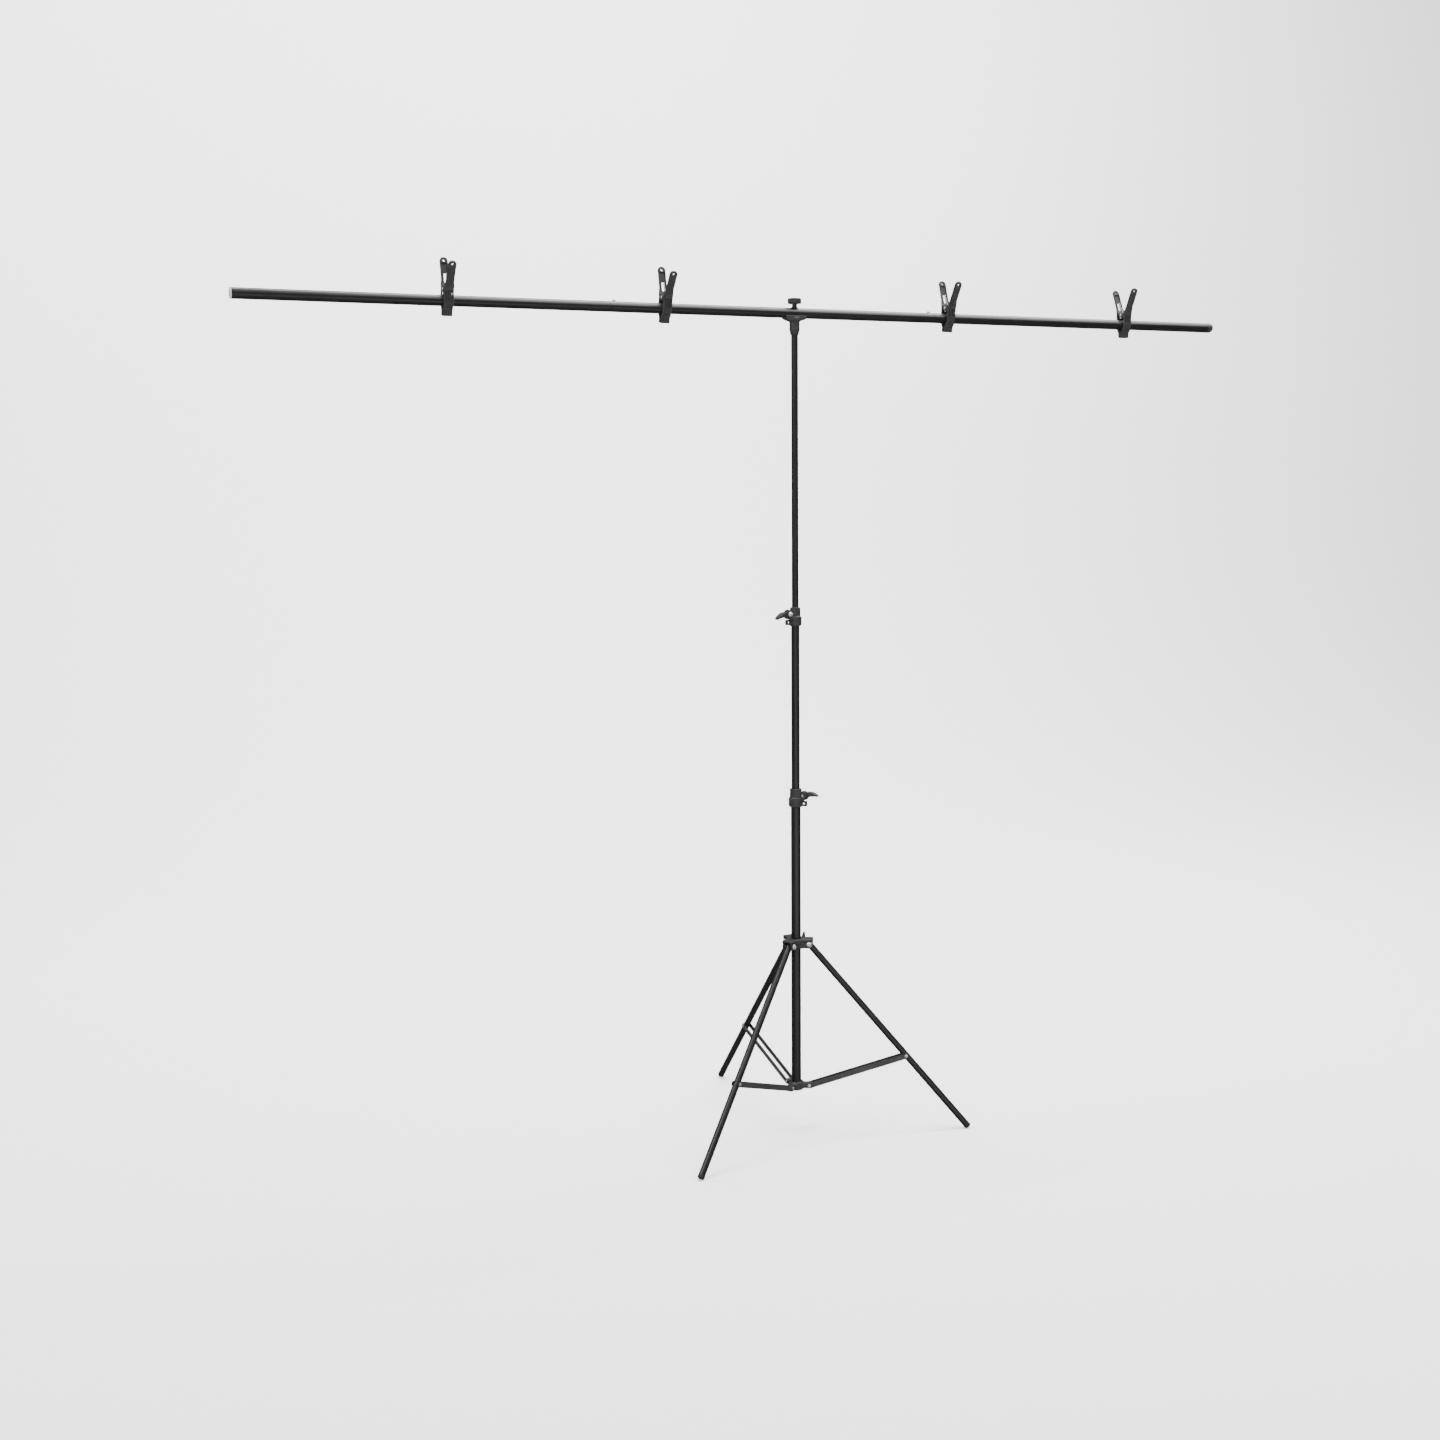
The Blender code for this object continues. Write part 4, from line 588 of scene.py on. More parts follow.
def upper_hub_field(p):
    """A round core, a star-shaped rim over it, and two rounded ears under the rim for each leg.

    The core and the rim are blended in plan and then cut off level, so their flat faces stay flat.
    """
    bore = LOWER_TUBE_RADIUS + GAP
    bottom, top = UPPER_HUB_BOTTOM, UPPER_HUB_TOP
    z = p[..., 2]
    core = np.hypot(p[..., 0], p[..., 1]) - bore - UPPER_CORE_WALL
    star = core
    reach = HINGE_RADIUS + HUB_NOSE
    ear_half = EAR_HALF - EAR_INSET
    for azimuth in LEG_AZIMUTHS:
        q = leg_view(p, azimuth)
        across = np.abs(q[..., 1])
        arm = meet(across - EAR_HALF, np.maximum(q[..., 0] - reach, -q[..., 0]), STAR_EDGE)
        star = join(star, arm, STAR_FILLET)
        ears = meet(across - ear_half, np.maximum(q[..., 0] - reach + EAR_INSET, -q[..., 0]), EAR_EDGE)
        round_end = np.hypot(np.maximum(q[..., 0] - HINGE_RADIUS, 0), np.minimum(z, 0))
        core = join(core, meet(ears, round_end - HUB_NOSE + EAR_INSET, EAR_EDGE), EAR_FILLET)
    rim = meet(star, np.maximum(z - top, top - RIM_DEPTH - z), RIM_EDGE)
    core = meet(core, np.maximum(z - top + CORE_DROP, bottom - z), CORE_EDGE)
    hub = join(core, rim, RIM_FILLET)
    lock = leg_view(p, LOCK_AZIMUTH)
    lock_in, lock_out = (0, 0, LOCK_HEIGHT), (LOCK_SEAT, 0, LOCK_HEIGHT)
    boss = rod_field(lock, lock_in, lock_out, LOCK_BOSS_RADIUS, LOCK_BOSS_EDGE)
    hub = join(hub, boss, LOCK_BOSS_FILLET)
    for azimuth in LEG_AZIMUTHS:
        q = leg_view(p, azimuth)
        fork_low = (bore + HUB_WALL, -STRIP_INNER, bottom - FORK_BELOW)
        fork = box_field(q, fork_low, (2 * reach, STRIP_INNER, FORK_CEILING), FORK_ROUNDING)
        hub = cut(hub, fork, FORK_EDGE)
        hole = np.hypot(q[..., 0] - HINGE_RADIUS, q[..., 2]) - BOLT_RADIUS - GAP
        hub = cut(hub, np.maximum(hole, -q[..., 0]), HOLE_EDGE)
    lock_hole = rod_field(lock, lock_in, (FAR, 0, LOCK_HEIGHT), LOCK_HOLE_RADIUS, 0)
    return cut(cut(hub, lock_hole, HOLE_EDGE), np.hypot(p[..., 0], p[..., 1]) - bore, BORE_EDGE)


HUB_PLACE = place((COLUMN_X, COLUMN_Y, HINGE_Z))
upper_hub = moulding(
    "upper_hub_star",
    upper_hub_field,
    (-hub_reach, -hub_reach, UPPER_HUB_BOTTOM),
    (hub_reach, hub_reach, UPPER_HUB_TOP),
    CELL,
    HUB_PLACE,
)
fit(upper_hub, "upper_hub", "black_plastic", MOULDED_ABS, "upper_hub")

# Leg bolts: one through each fork, zinc plated, with a wide low head at both ends, slotted for a
# screwdriver.

BOLT_HEAD_RADIUS = 0.006
BOLT_HEAD_HEIGHT = 0.003
BOLT_SHANK_SINK = 0.001
HEAD_RIM_EDGE = 0.0003
HEAD_CROWN_EDGE = 0.0004
SLOT_WIDTH = 0.0013
SLOT_DEPTH = 0.0013
SLOT_EDGE = 0.0003
SLOT_TURN = math.radians(38)
FINE_CELL = 0.0003


def slotted_head(p, base, radius, height):
    """A low domed head along +Z from its base, a ball's cap over a short rim, with a slot across it."""
    ball = (radius * radius + height * height) / (2 * height)
    crown = np.linalg.norm(p - np.array([0, 0, base + height - ball]), axis=-1) - ball
    rim = rod_field(p, (0, 0, base), (0, 0, base + 2 * height), radius, HEAD_RIM_EDGE)
    head = meet(rim, crown, HEAD_CROWN_EDGE)
    across = p[..., 0] * math.cos(SLOT_TURN) + p[..., 1] * math.sin(SLOT_TURN)
    slot = np.maximum(np.abs(across) - SLOT_WIDTH / 2, base + height - SLOT_DEPTH - p[..., 2])
    return cut(head, slot, SLOT_EDGE)


def leg_bolt_field(p):
    """A round shank with a slotted head at each end."""
    base = EAR_HALF + GAP
    shank_end = base + BOLT_SHANK_SINK
    shank = rod_field(p, (0, 0, -shank_end), (0, 0, shank_end), BOLT_RADIUS, 0)
    near_head = slotted_head(p, base, BOLT_HEAD_RADIUS, BOLT_HEAD_HEIGHT)
    far_head = slotted_head(p * np.array([1, 1, -1]), base, BOLT_HEAD_RADIUS, BOLT_HEAD_HEIGHT)
    return np.minimum(shank, np.minimum(near_head, far_head))


bolt_reach = EAR_HALF + GAP + BOLT_HEAD_HEIGHT
for number, hinge, axis in zip(LEG_NUMBERS, LEG_HINGES, LEG_AXES):
    bolt = moulding(
        "leg_bolt_%d" % number,
        leg_bolt_field,
        (-BOLT_HEAD_RADIUS, -BOLT_HEAD_RADIUS, -bolt_reach),
        (BOLT_HEAD_RADIUS, BOLT_HEAD_RADIUS, bolt_reach),
        FINE_CELL,
        place(hinge, axis, (0, 0, 1)),
    )
    fit(bolt, "upper_hub", "bright_steel", ZINC_PLATE, "upper_hub_bolt_%d" % number)

# Lock knob: a moulded two-winged knob on a steel screw, between two arms of the upper hub. The screw
# bears on the lower tube and holds the hub where it is.

KNOB_SEAT = LOCK_SEAT + GAP
KNOB_LENGTH = 0.018
KNOB_WING = 0.0155
KNOB_HALF_THICKNESS = 0.0025
KNOB_BOSS_RADIUS = 0.0048
KNOB_BOSS_END_RADIUS = 0.6 * KNOB_BOSS_RADIUS
KNOB_BOSS_INSET = 0.001
KNOB_BOSS_EDGE = 0.0008
WING_FOOT_SHARE = 0.30
WING_SWEEP_SHARE = 0.42
WING_SWEEP_POWER = 1.6
WING_TOP_SHARE = 0.97
WING_DROOP_SHARE = 0.06
WING_THINNING = 0.35
WING_CORNER = 0.002
WING_EDGE = 0.001
KNOB_FILLET = 0.003
SCREW_RADIUS = 0.0028
SCREW_EDGE = 0.0003
SCREW_SINK = 0.002


def hub_knob_field(p):
    """A tapered boss along +Z with a wing to each side, swept up and thinned towards its tip."""
    boss_start = (0, 0, KNOB_SEAT)
    boss_end = (0, 0, KNOB_SEAT + KNOB_LENGTH - KNOB_BOSS_INSET)
    boss = rod_field(p, boss_start, boss_end, KNOB_BOSS_RADIUS, KNOB_BOSS_EDGE, KNOB_BOSS_END_RADIUS)
    out = np.abs(p[..., 0])
    share = np.clip(out / KNOB_WING, 0, 1)
    low = KNOB_SEAT + KNOB_LENGTH * (WING_FOOT_SHARE + WING_SWEEP_SHARE * share**WING_SWEEP_POWER)
    high = KNOB_SEAT + KNOB_LENGTH * (WING_TOP_SHARE - WING_DROOP_SHARE * share)
    half = KNOB_HALF_THICKNESS * (1 - WING_THINNING * share)
    wing = np.maximum(meet(low - p[..., 2], out - KNOB_WING, WING_CORNER), p[..., 2] - high)
    wing = meet(wing, np.abs(p[..., 1]) - half, WING_EDGE)
    screw_end = (0, 0, KNOB_SEAT + SCREW_SINK)
    screw = rod_field(p, (0, 0, LOWER_TUBE_RADIUS + GAP), screw_end, SCREW_RADIUS, SCREW_EDGE)
    return np.minimum(join(boss, wing, KNOB_FILLET), screw)


lock_out = (math.cos(LOCK_AZIMUTH), math.sin(LOCK_AZIMUTH), 0)
lock_place = place((COLUMN_X, COLUMN_Y, HINGE_Z + LOCK_HEIGHT), lock_out, (0, 0, -1))
hub_knob = moulding(
    "hub_knob_wings",
    hub_knob_field,
    (-KNOB_WING, -KNOB_BOSS_RADIUS, LOWER_TUBE_RADIUS),
    (KNOB_WING, KNOB_BOSS_RADIUS, KNOB_SEAT + KNOB_LENGTH),
    FINE_CELL,
    lock_place,
)
fit(hub_knob, "hub_knob", "black_plastic", MOULDED_ABS, "hub_knob")

# Collars: moulded clamps on the ends of the lower and middle tubes. Two cheeks hold the lever's pin and
# an open lug stands out under them.

COLLAR_LIP = 0.0015
COLLAR_HEIGHT = 0.036
COLLAR_TOP_WALL = 0.002
COLLAR_BASE_WALL = 0.0043
PIN_DROP = 0.013
PIN_OFFSET = 0.0075
EYE_RADIUS = 0.0046
ROOT_HALF_WIDTH = 0.003
CHEEK_THICKNESS = 0.0026
CHEEK_RADIUS = 0.0092
CHEEK_BACK_RISE = 0.82 * CHEEK_RADIUS
CHEEK_BACK_EDGE = 0.001
CHEEK_BACK_FILLET = 0.002
CHEEK_EDGE = 0.0007
CHEEK_FILLET = 0.0014
CROWN_FOOT = 0.004
CROWN_EDGE = 0.0008
STEP_EDGE = 0.0009
STEP_FILLET = 0.0022
FOOT_ROUNDING = 0.0038
LUG_REACH = 0.0145
LUG_HALF_WIDTH = 0.0035
LUG_LIFT = 0.0027
LUG_RIM = 0.0032
LUG_DROP = 0.001
LUG_EDGE = 0.0012
LUG_FILLET = 0.0016
WINDOW_STANDOFF = 0.0008
WINDOW_ROUNDING = 0.001
WINDOW_EDGE = 0.0006
# A cut that goes right through a collar or a handle reaches this far to each side.
THROUGH = 0.02
MESH_MARGIN = 0.002
COLLAR_BORE_EDGE = 0.0008
PIN_RADIUS = 0.0024
PIN_HEAD_RADIUS = 0.0053
PIN_HEAD_HEIGHT = 0.0026


def collar_field(p, outer, inner):
    """A sleeve that steps out below the pin and rounds in at its foot, with two cheeks and a windowed lug."""
    top = COLLAR_LIP
    bottom = top - COLLAR_HEIGHT
    pin_x, pin_z = outer + PIN_OFFSET, top - PIN_DROP
    step = pin_z - EYE_RADIUS
    base_radius = outer + COLLAR_BASE_WALL
    crown = rod_field(p, (0, 0, bottom + CROWN_FOOT), (0, 0, top), outer + COLLAR_TOP_WALL, CROWN_EDGE)
    base = rod_field(p, (0, 0, bottom), (0, 0, step), base_radius, STEP_EDGE)
    base = np.maximum(base, rod_field(p, (0, 0, bottom), (0, 0, top), base_radius, FOOT_ROUNDING))
    body = join(crown, base, STEP_FILLET)
    sides = np.abs(p[..., 1]) - ROOT_HALF_WIDTH - GAP - CHEEK_THICKNESS / 2
    cheek = np.hypot(p[..., 0] - pin_x, p[..., 2] - pin_z) - CHEEK_RADIUS
    back_low = (outer, -THROUGH, pin_z - CHEEK_RADIUS)
    back = box_field(p, back_low, (pin_x, THROUGH, pin_z + CHEEK_BACK_RISE), CHEEK_BACK_EDGE)
    cheek = join(cheek, back, CHEEK_BACK_FILLET)
    cheek = meet(cheek, np.abs(sides) - CHEEK_THICKNESS / 2, CHEEK_EDGE)
    body = join(body, cheek, CHEEK_FILLET)
    lug_low, lug_high = bottom + LUG_LIFT, pin_z - CHEEK_RADIUS - LUG_DROP
    reach = outer + LUG_REACH
    lug = box_field(p, (outer, -LUG_HALF_WIDTH, lug_low), (reach, LUG_HALF_WIDTH, lug_high), LUG_EDGE)
    body = join(body, lug, LUG_FILLET)
    window_low = (base_radius + WINDOW_STANDOFF, -THROUGH, lug_low + LUG_RIM)
    window_high = (reach - LUG_RIM, THROUGH, lug_high - LUG_RIM)
    body = cut(body, box_field(p, window_low, window_high, WINDOW_ROUNDING), WINDOW_EDGE)
    hole = np.hypot(p[..., 0] - pin_x, p[..., 2] - pin_z) - PIN_RADIUS - GAP
    body = cut(body, hole, HOLE_EDGE)
    away = np.hypot(p[..., 0], p[..., 1])
    body = cut(body, np.maximum(away - outer - GAP, p[..., 2] - GAP), HOLE_EDGE)
    return cut(body, away - inner - GAP, COLLAR_BORE_EDGE)


def collar_pin_field(p):
    """A pin along +Z with a slotted head outside one cheek and a flush end in the other."""
    face = ROOT_HALF_WIDTH + GAP + CHEEK_THICKNESS
    shank_end = (0, 0, face + GAP + BOLT_SHANK_SINK)
    shank = rod_field(p, (0, 0, -face), shank_end, PIN_RADIUS, HEAD_RIM_EDGE)
    return np.minimum(shank, slotted_head(p, face + GAP, PIN_HEAD_RADIUS, PIN_HEAD_HEIGHT))


MIDDLE_TUBE_RADIUS = (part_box("middle_tube")[1][0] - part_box("middle_tube")[0][0]) / 2
TOP_TUBE_RADIUS = (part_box("top_tube")[1][0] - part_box("top_tube")[0][0]) / 2
cheek_face = ROOT_HALF_WIDTH + GAP + CHEEK_THICKNESS
COLLARS = [
    ("lower", "base", LOWER_TUBE_RADIUS, MIDDLE_TUBE_RADIUS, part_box("lower_tube")[1][2]),
    ("upper", "middle", MIDDLE_TUBE_RADIUS, TOP_TUBE_RADIUS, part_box("middle_tube")[1][2]),
]
for collar_name, body_name, outer, inner, end_z in COLLARS:
    pin_at = np.array(JOINTS[collar_name + "_lever_turn"]["pos_m"])
    lever_out = np.array([pin_at[0] - COLUMN_X, pin_at[1] - COLUMN_Y, 0])
    collar_place = place((COLUMN_X, COLUMN_Y, end_z), (0, 0, 1), lever_out)
    collar_reach = outer + LUG_REACH
    collar_side = outer + COLLAR_BASE_WALL
    collar = moulding(
        collar_name + "_collar_sleeve",
        lambda p: collar_field(p, outer, inner),
        (-collar_side, -collar_side, COLLAR_LIP - COLLAR_HEIGHT),
        (collar_reach + MESH_MARGIN, collar_side, COLLAR_LIP),
        CELL,
        collar_place,
    )
    fit(collar, body_name, "black_plastic", MOULDED_ABS, collar_name + "_collar")
    pin_place = place(pin_at, collar_place[:3, 1], (0, 0, 1))
    pin = moulding(
        collar_name + "_lever_pin",
        collar_pin_field,
        (-PIN_HEAD_RADIUS, -PIN_HEAD_RADIUS, -cheek_face),
        (PIN_HEAD_RADIUS, PIN_HEAD_RADIUS, cheek_face + GAP + PIN_HEAD_HEIGHT),
        FINE_CELL,
        pin_place,
    )
    fit(pin, body_name, "bright_steel", ZINC_PLATE, collar_name + "_collar_pin")

# Clamp levers: moulded ABS hoods, hollow underneath, thick at the pin and swept down to a thin tip. Each
# turns on its collar's pin, and pressed down it squeezes the collar on the tube.

LEVER_REACH = 0.030
LEVER_DROP = 0.0078
LEVER_ROOT_HALF = 0.0050
LEVER_TIP_HALF = 0.0019
LEVER_HALF_WIDTH = 0.0063
LEVER_CLEAR = CHEEK_RADIUS + 0.0006
LEVER_NARROWING = 0.22
LEVER_EYE_EDGE = 0.0005
LEVER_EYE_FILLET = 0.001
LEVER_ARM_EDGE = 0.0014
LEVER_ARM_FILLET = 0.0008
LEVER_BORE_EDGE = 0.0004
HOLLOW_START = LEVER_CLEAR + 0.003
HOLLOW_TIP_INSET = 0.007
HOLLOW_ROOF = 0.0018
HOLLOW_HALF_WIDTH = 0.0042
HOLLOW_EDGE = 0.0006
LEVER_LIFTS = {"lower": math.radians(18), "upper": 0.0}


def lever_field(p):
    """An eye on the pin, a neck between the cheeks, and an arm whose middle line drops as a parabola."""
    x, y, z = p[..., 0], p[..., 1], p[..., 2]
    eye = rod_field(p, (0, -ROOT_HALF_WIDTH, 0), (0, ROOT_HALF_WIDTH, 0), EYE_RADIUS, LEVER_EYE_EDGE)
    neck_low = (0, -ROOT_HALF_WIDTH, -LEVER_ROOT_HALF)
    neck_high = (HOLLOW_START, ROOT_HALF_WIDTH, LEVER_ROOT_HALF)
    neck = box_field(p, neck_low, neck_high, LEVER_EYE_EDGE)
    share = np.clip((x - LEVER_CLEAR) / (LEVER_REACH - LEVER_CLEAR), 0, 1.1)
    middle = -LEVER_DROP * share**2
    half = LEVER_ROOT_HALF + (LEVER_TIP_HALF - LEVER_ROOT_HALF) * share**2
    slope = np.sqrt(1 + (2 * LEVER_DROP * share / (LEVER_REACH - LEVER_CLEAR)) ** 2)
    thick = (np.abs(z - middle) - half) / slope
    wide = np.abs(y) - LEVER_HALF_WIDTH * (1 - LEVER_NARROWING * share**2)
    length = np.maximum(LEVER_CLEAR - x, x - LEVER_REACH)
    arm = meet(meet(thick, wide, LEVER_ARM_EDGE), length, LEVER_ARM_EDGE)
    hollow = np.maximum(z - middle - half + HOLLOW_ROOF, np.abs(y) - HOLLOW_HALF_WIDTH)
    hollow = np.maximum(hollow, np.maximum(HOLLOW_START - x, x - LEVER_REACH + HOLLOW_TIP_INSET))
    lever = join(eye, neck, LEVER_EYE_FILLET)
    lever = join(lever, cut(arm, hollow, HOLLOW_EDGE), LEVER_ARM_FILLET)
    return cut(lever, np.hypot(x, z) - PIN_RADIUS - GAP, LEVER_BORE_EDGE)


for collar_name, lift in LEVER_LIFTS.items():
    pin_at = np.array(JOINTS[collar_name + "_lever_turn"]["pos_m"])
    lever_out = np.array([pin_at[0] - COLUMN_X, pin_at[1] - COLUMN_Y, 0])
    lever_out /= np.linalg.norm(lever_out)
    raised = lever_out * math.cos(lift) + np.array([0, 0, math.sin(lift)])
    upright = np.array([0, 0, math.cos(lift)]) - lever_out * math.sin(lift)
    lever = moulding(
        collar_name + "_lever_hood",
        lever_field,
        (-EYE_RADIUS, -LEVER_HALF_WIDTH, -LEVER_DROP - LEVER_TIP_HALF - MESH_MARGIN),
        (LEVER_REACH, LEVER_HALF_WIDTH, LEVER_ROOT_HALF),
        FINE_CELL,
        place(pin_at, upright, raised),
    )
    fit(lever, collar_name + "_lever", "black_plastic", MOULDED_ABS, collar_name + "_collar_lever")

# Head: a socket of moulded ABS on the top tube, opening into a saddle that the crossbar lies in. The
# clamp knob's screw holds the crossbar down in it.

TOP_TUBE_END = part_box("top_tube")[1][2]
BAR_LOW, BAR_HIGH = (np.array(corner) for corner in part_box("bar_middle"))
BAR_RADIUS = (BAR_HIGH[1] - BAR_LOW[1]) / 2
BAR_Y = (BAR_HIGH[1] + BAR_LOW[1]) / 2
BAR_Z = (BAR_HIGH[2] + BAR_LOW[2]) / 2
BAR_RISE = BAR_Z - TOP_TUBE_END
SADDLE_FLOOR = BAR_RISE - BAR_RADIUS - GAP
SOCKET_WALL = 0.003
SOCKET_DEPTH = 0.020
SOCKET_TAPER = 0.009
SADDLE_HALF_LENGTH = 0.0215
SADDLE_HUG = 0.005
SADDLE_END = 0.0013
SADDLE_BELLY = 0.0055
SADDLE_EDGE = 0.0009
SADDLE_WING_EDGE = 0.002
SADDLE_FILLET = 0.004
SOCKET_EDGE = 0.0004
MOUTH_WALL = 0.0009
MOUTH_OVERLAP = 0.001
MOUTH_EDGE = 0.0003
SOCKET_BORE_EDGE = 0.0006
SCREW_HOLE_DEPTH = 0.0068
SCREW_HOLE_RADIUS = 0.0031
SCREW_HOLE_EDGE = 0.0004


def head_field(p):
    """A tapering socket under a boat-shaped saddle, with the crossbar's round taken out of the top."""
    bore = TOP_TUBE_RADIUS + GAP
    outside = bore + SOCKET_WALL
    taper_z = SOCKET_TAPER - SOCKET_DEPTH
    socket = rod_field(p, (0, 0, taper_z), (0, 0, SADDLE_FLOOR), outside, SOCKET_EDGE)
    mouth_low, mouth_high = (0, 0, -SOCKET_DEPTH), (0, 0, taper_z + MOUTH_OVERLAP)
    mouth = rod_field(p, mouth_low, mouth_high, bore + MOUTH_WALL, MOUTH_EDGE, outside)
    head = join(socket, mouth, MOUTH_OVERLAP)
    hug = BAR_RADIUS + GAP
    belly_z = SADDLE_FLOOR - SADDLE_BELLY
    end_z = BAR_RISE - BAR_RADIUS - SADDLE_END
    saddle_low = (-SADDLE_HALF_LENGTH, -hug, belly_z)
    saddle_high = (SADDLE_HALF_LENGTH, hug, BAR_RISE - SADDLE_HUG)
    saddle = box_field(p, saddle_low, saddle_high, SADDLE_EDGE)
    rise = (end_z - belly_z) / (SADDLE_HALF_LENGTH - outside)
    wing = (belly_z + rise * (np.abs(p[..., 0]) - outside) - p[..., 2]) / math.hypot(1, rise)
    head = join(head, meet(saddle, wing, SADDLE_WING_EDGE), SADDLE_FILLET)
    head = cut(head, np.hypot(p[..., 1], p[..., 2] - BAR_RISE) - hug, SOCKET_BORE_EDGE)
    head = cut(head, rod_field(p, (0, 0, -FAR), (0, 0, GAP), bore, 0), SOCKET_BORE_EDGE)
    hole_foot = (0, 0, SADDLE_FLOOR - SCREW_HOLE_DEPTH)
    return cut(head, rod_field(p, hole_foot, (0, 0, BAR_RISE), SCREW_HOLE_RADIUS, 0), SCREW_HOLE_EDGE)


head = moulding(
    "head_saddle",
    head_field,
    (-SADDLE_HALF_LENGTH, -BAR_RADIUS - GAP, -SOCKET_DEPTH),
    (SADDLE_HALF_LENGTH, BAR_RADIUS + GAP, BAR_RISE - SADDLE_HUG),
    CELL,
    place((COLUMN_X, COLUMN_Y, TOP_TUBE_END)),
)
fit(head, "head", "black_plastic", MOULDED_ABS, "head_hub")

# Crossbar: three lengths of coated steel tube. The outer two are necked down to plug into the middle
# one, and are held by a spring button near each seam.

BAR_LEFT, BAR_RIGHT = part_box("bar_end_ring")[0][0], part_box("bar_end_cap")[1][0]
SEAMS = (BAR_LOW[0], BAR_HIGH[0])
NECK_RADIUS = BAR_RADIUS - TUBE_WALL - GAP
NECK_LENGTH = 0.055
RING_LIP = 0.0025
RING_LENGTH = 0.010
BAR_PLUG_DOME = 0.016
BAR_ROUNDINGS = [0.0003, 0.0003, 0.0004, 0.0001, 0.0003, 0.0003, 0.001, 0.001]
NECKING_START = 0.004
NECKING_END = 0.008
BUTTON_INSET = 0.0095
BUTTON_RADIUS = 0.00275
BUTTON_OUT = 0.0045
BUTTON_FOOT = 0.005
BUTTON_ROUNDINGS = [0, 0.0022, 0.0004, 0]


def bar_place(x, side):
    """A frame on the crossbar's axis whose Z runs along it to +X or -X."""
    return place((x, BAR_Y, BAR_Z), (side, 0, 0), (0, 0, 1))


middle_cut = tube_profile(BAR_RADIUS, BAR_RADIUS - TUBE_WALL, 0, SEAMS[1] - SEAMS[0])
middle_bar = turned("bar_middle_shell", middle_cut, bar_place(SEAMS[0], 1))
fit(middle_bar, "head", "black_tube", POWDER_COAT, "bar_middle")
OUTER_BARS = [
    ("bar_left", SEAMS[0], -1, BAR_LEFT + RING_LIP),
    ("bar_right", SEAMS[1], 1, BAR_RIGHT - BAR_PLUG_DOME),
]
for bar_name, seam, side, end in OUTER_BARS:
    length = abs(end - seam) - GAP
    inner = BAR_RADIUS - TUBE_WALL
    neck_inner = NECK_RADIUS - TUBE_WALL
    bar_corners = [(inner, length), (BAR_RADIUS, length), (BAR_RADIUS, GAP), (NECK_RADIUS, GAP)]
    bar_corners += [(NECK_RADIUS, -NECK_LENGTH), (neck_inner, -NECK_LENGTH)]
    bar_corners += [(neck_inner, NECKING_START), (inner, NECKING_END)]
    bar_cut = rounded(bar_corners, BAR_ROUNDINGS)
    outer_bar = turned(bar_name + "_shell", bar_cut, bar_place(seam, side))
    fit(outer_bar, "head", "black_tube", POWDER_COAT, bar_name)
    button_place = place((seam - side * BUTTON_INSET, BAR_Y, BAR_Z))
    top = BAR_RADIUS + BUTTON_OUT
    button_corners = [(0, top), (BUTTON_RADIUS, top), (BUTTON_RADIUS, BUTTON_FOOT), (0, BUTTON_FOOT)]
    button_cut = rounded(button_corners, BUTTON_ROUNDINGS, closed=False, steps=8)
    button = turned(bar_name + "_button_pin", button_cut, button_place, HEAD_TURNS, closed=False)
    fit(button, bar_name.replace("bar_", "") + "_button", "bright_steel", ZINC_PLATE, bar_name + "_button")

# End fittings of the crossbar: a ferrule of pale nylon, open through its middle, pressed into the left
# end, and a black domed plug of moulded ABS pressed into the right.

RING_WALL = 0.0008
RING_ROUNDINGS = [0.0003, 0.0008, 0.0002, 0.0001, 0.0003, 0.0003]
BAR_PLUG_LENGTH = 0.012
BAR_PLUG_ROUNDINGS = [0, 0.0085, 0.0004, 0.0001, 0.0008, 0]


def ferrule_nylon():
    """Natural nylon, turned pale grey: a waxy, slightly translucent skin."""
    finish, tree, shader, point = new_finish("pale_nylon", **{"IOR": 1.53})
    # The clouds in it are about 3.3 mm across.
    cloud = add_node(tree, "ShaderNodeTexNoise", {"Vector": point, "Scale": 300.0, "Detail": 3.0})
    tint(tree, cloud.outputs["Fac"], shader.inputs["Base Color"], "a2a4a5", "c4c6c6")
    vary(tree, cloud.outputs["Fac"], shader.inputs["Roughness"], 0.35, 0.5)
    roughen(tree, cloud.outputs["Fac"], shader, 0.00003)
    return finish


ring_inner = NECK_RADIUS - RING_WALL
ring_corners = [(ring_inner, RING_LIP), (BAR_RADIUS, RING_LIP), (BAR_RADIUS, 0), (NECK_RADIUS, 0)]
ring_corners += [(NECK_RADIUS, -RING_LENGTH), (ring_inner, -RING_LENGTH)]
ring_cut = rounded(ring_corners, RING_ROUNDINGS)
ring = turned("bar_end_ferrule", ring_cut, bar_place(BAR_LEFT + RING_LIP, -1))
fit(ring, "head", "grey_plastic", ferrule_nylon(), "bar_end_ring")
plug_corners = [(0, BAR_PLUG_DOME), (BAR_RADIUS, BAR_PLUG_DOME), (BAR_RADIUS, 0), (NECK_RADIUS, 0)]
plug_corners += [(NECK_RADIUS, -BAR_PLUG_LENGTH), (0, -BAR_PLUG_LENGTH)]
plug_cut = rounded(plug_corners, BAR_PLUG_ROUNDINGS, closed=False, steps=14)
plug = turned("bar_end_plug", plug_cut, bar_place(BAR_RIGHT - BAR_PLUG_DOME, 1), closed=False)
fit(plug, "head", "black_plastic", MOULDED_ABS, "bar_end_cap")

# Clamp knob: a thumb knob of moulded ABS with six lobes. Its steel screw runs down through the crossbar
# into the saddle and clamps the one to the other.

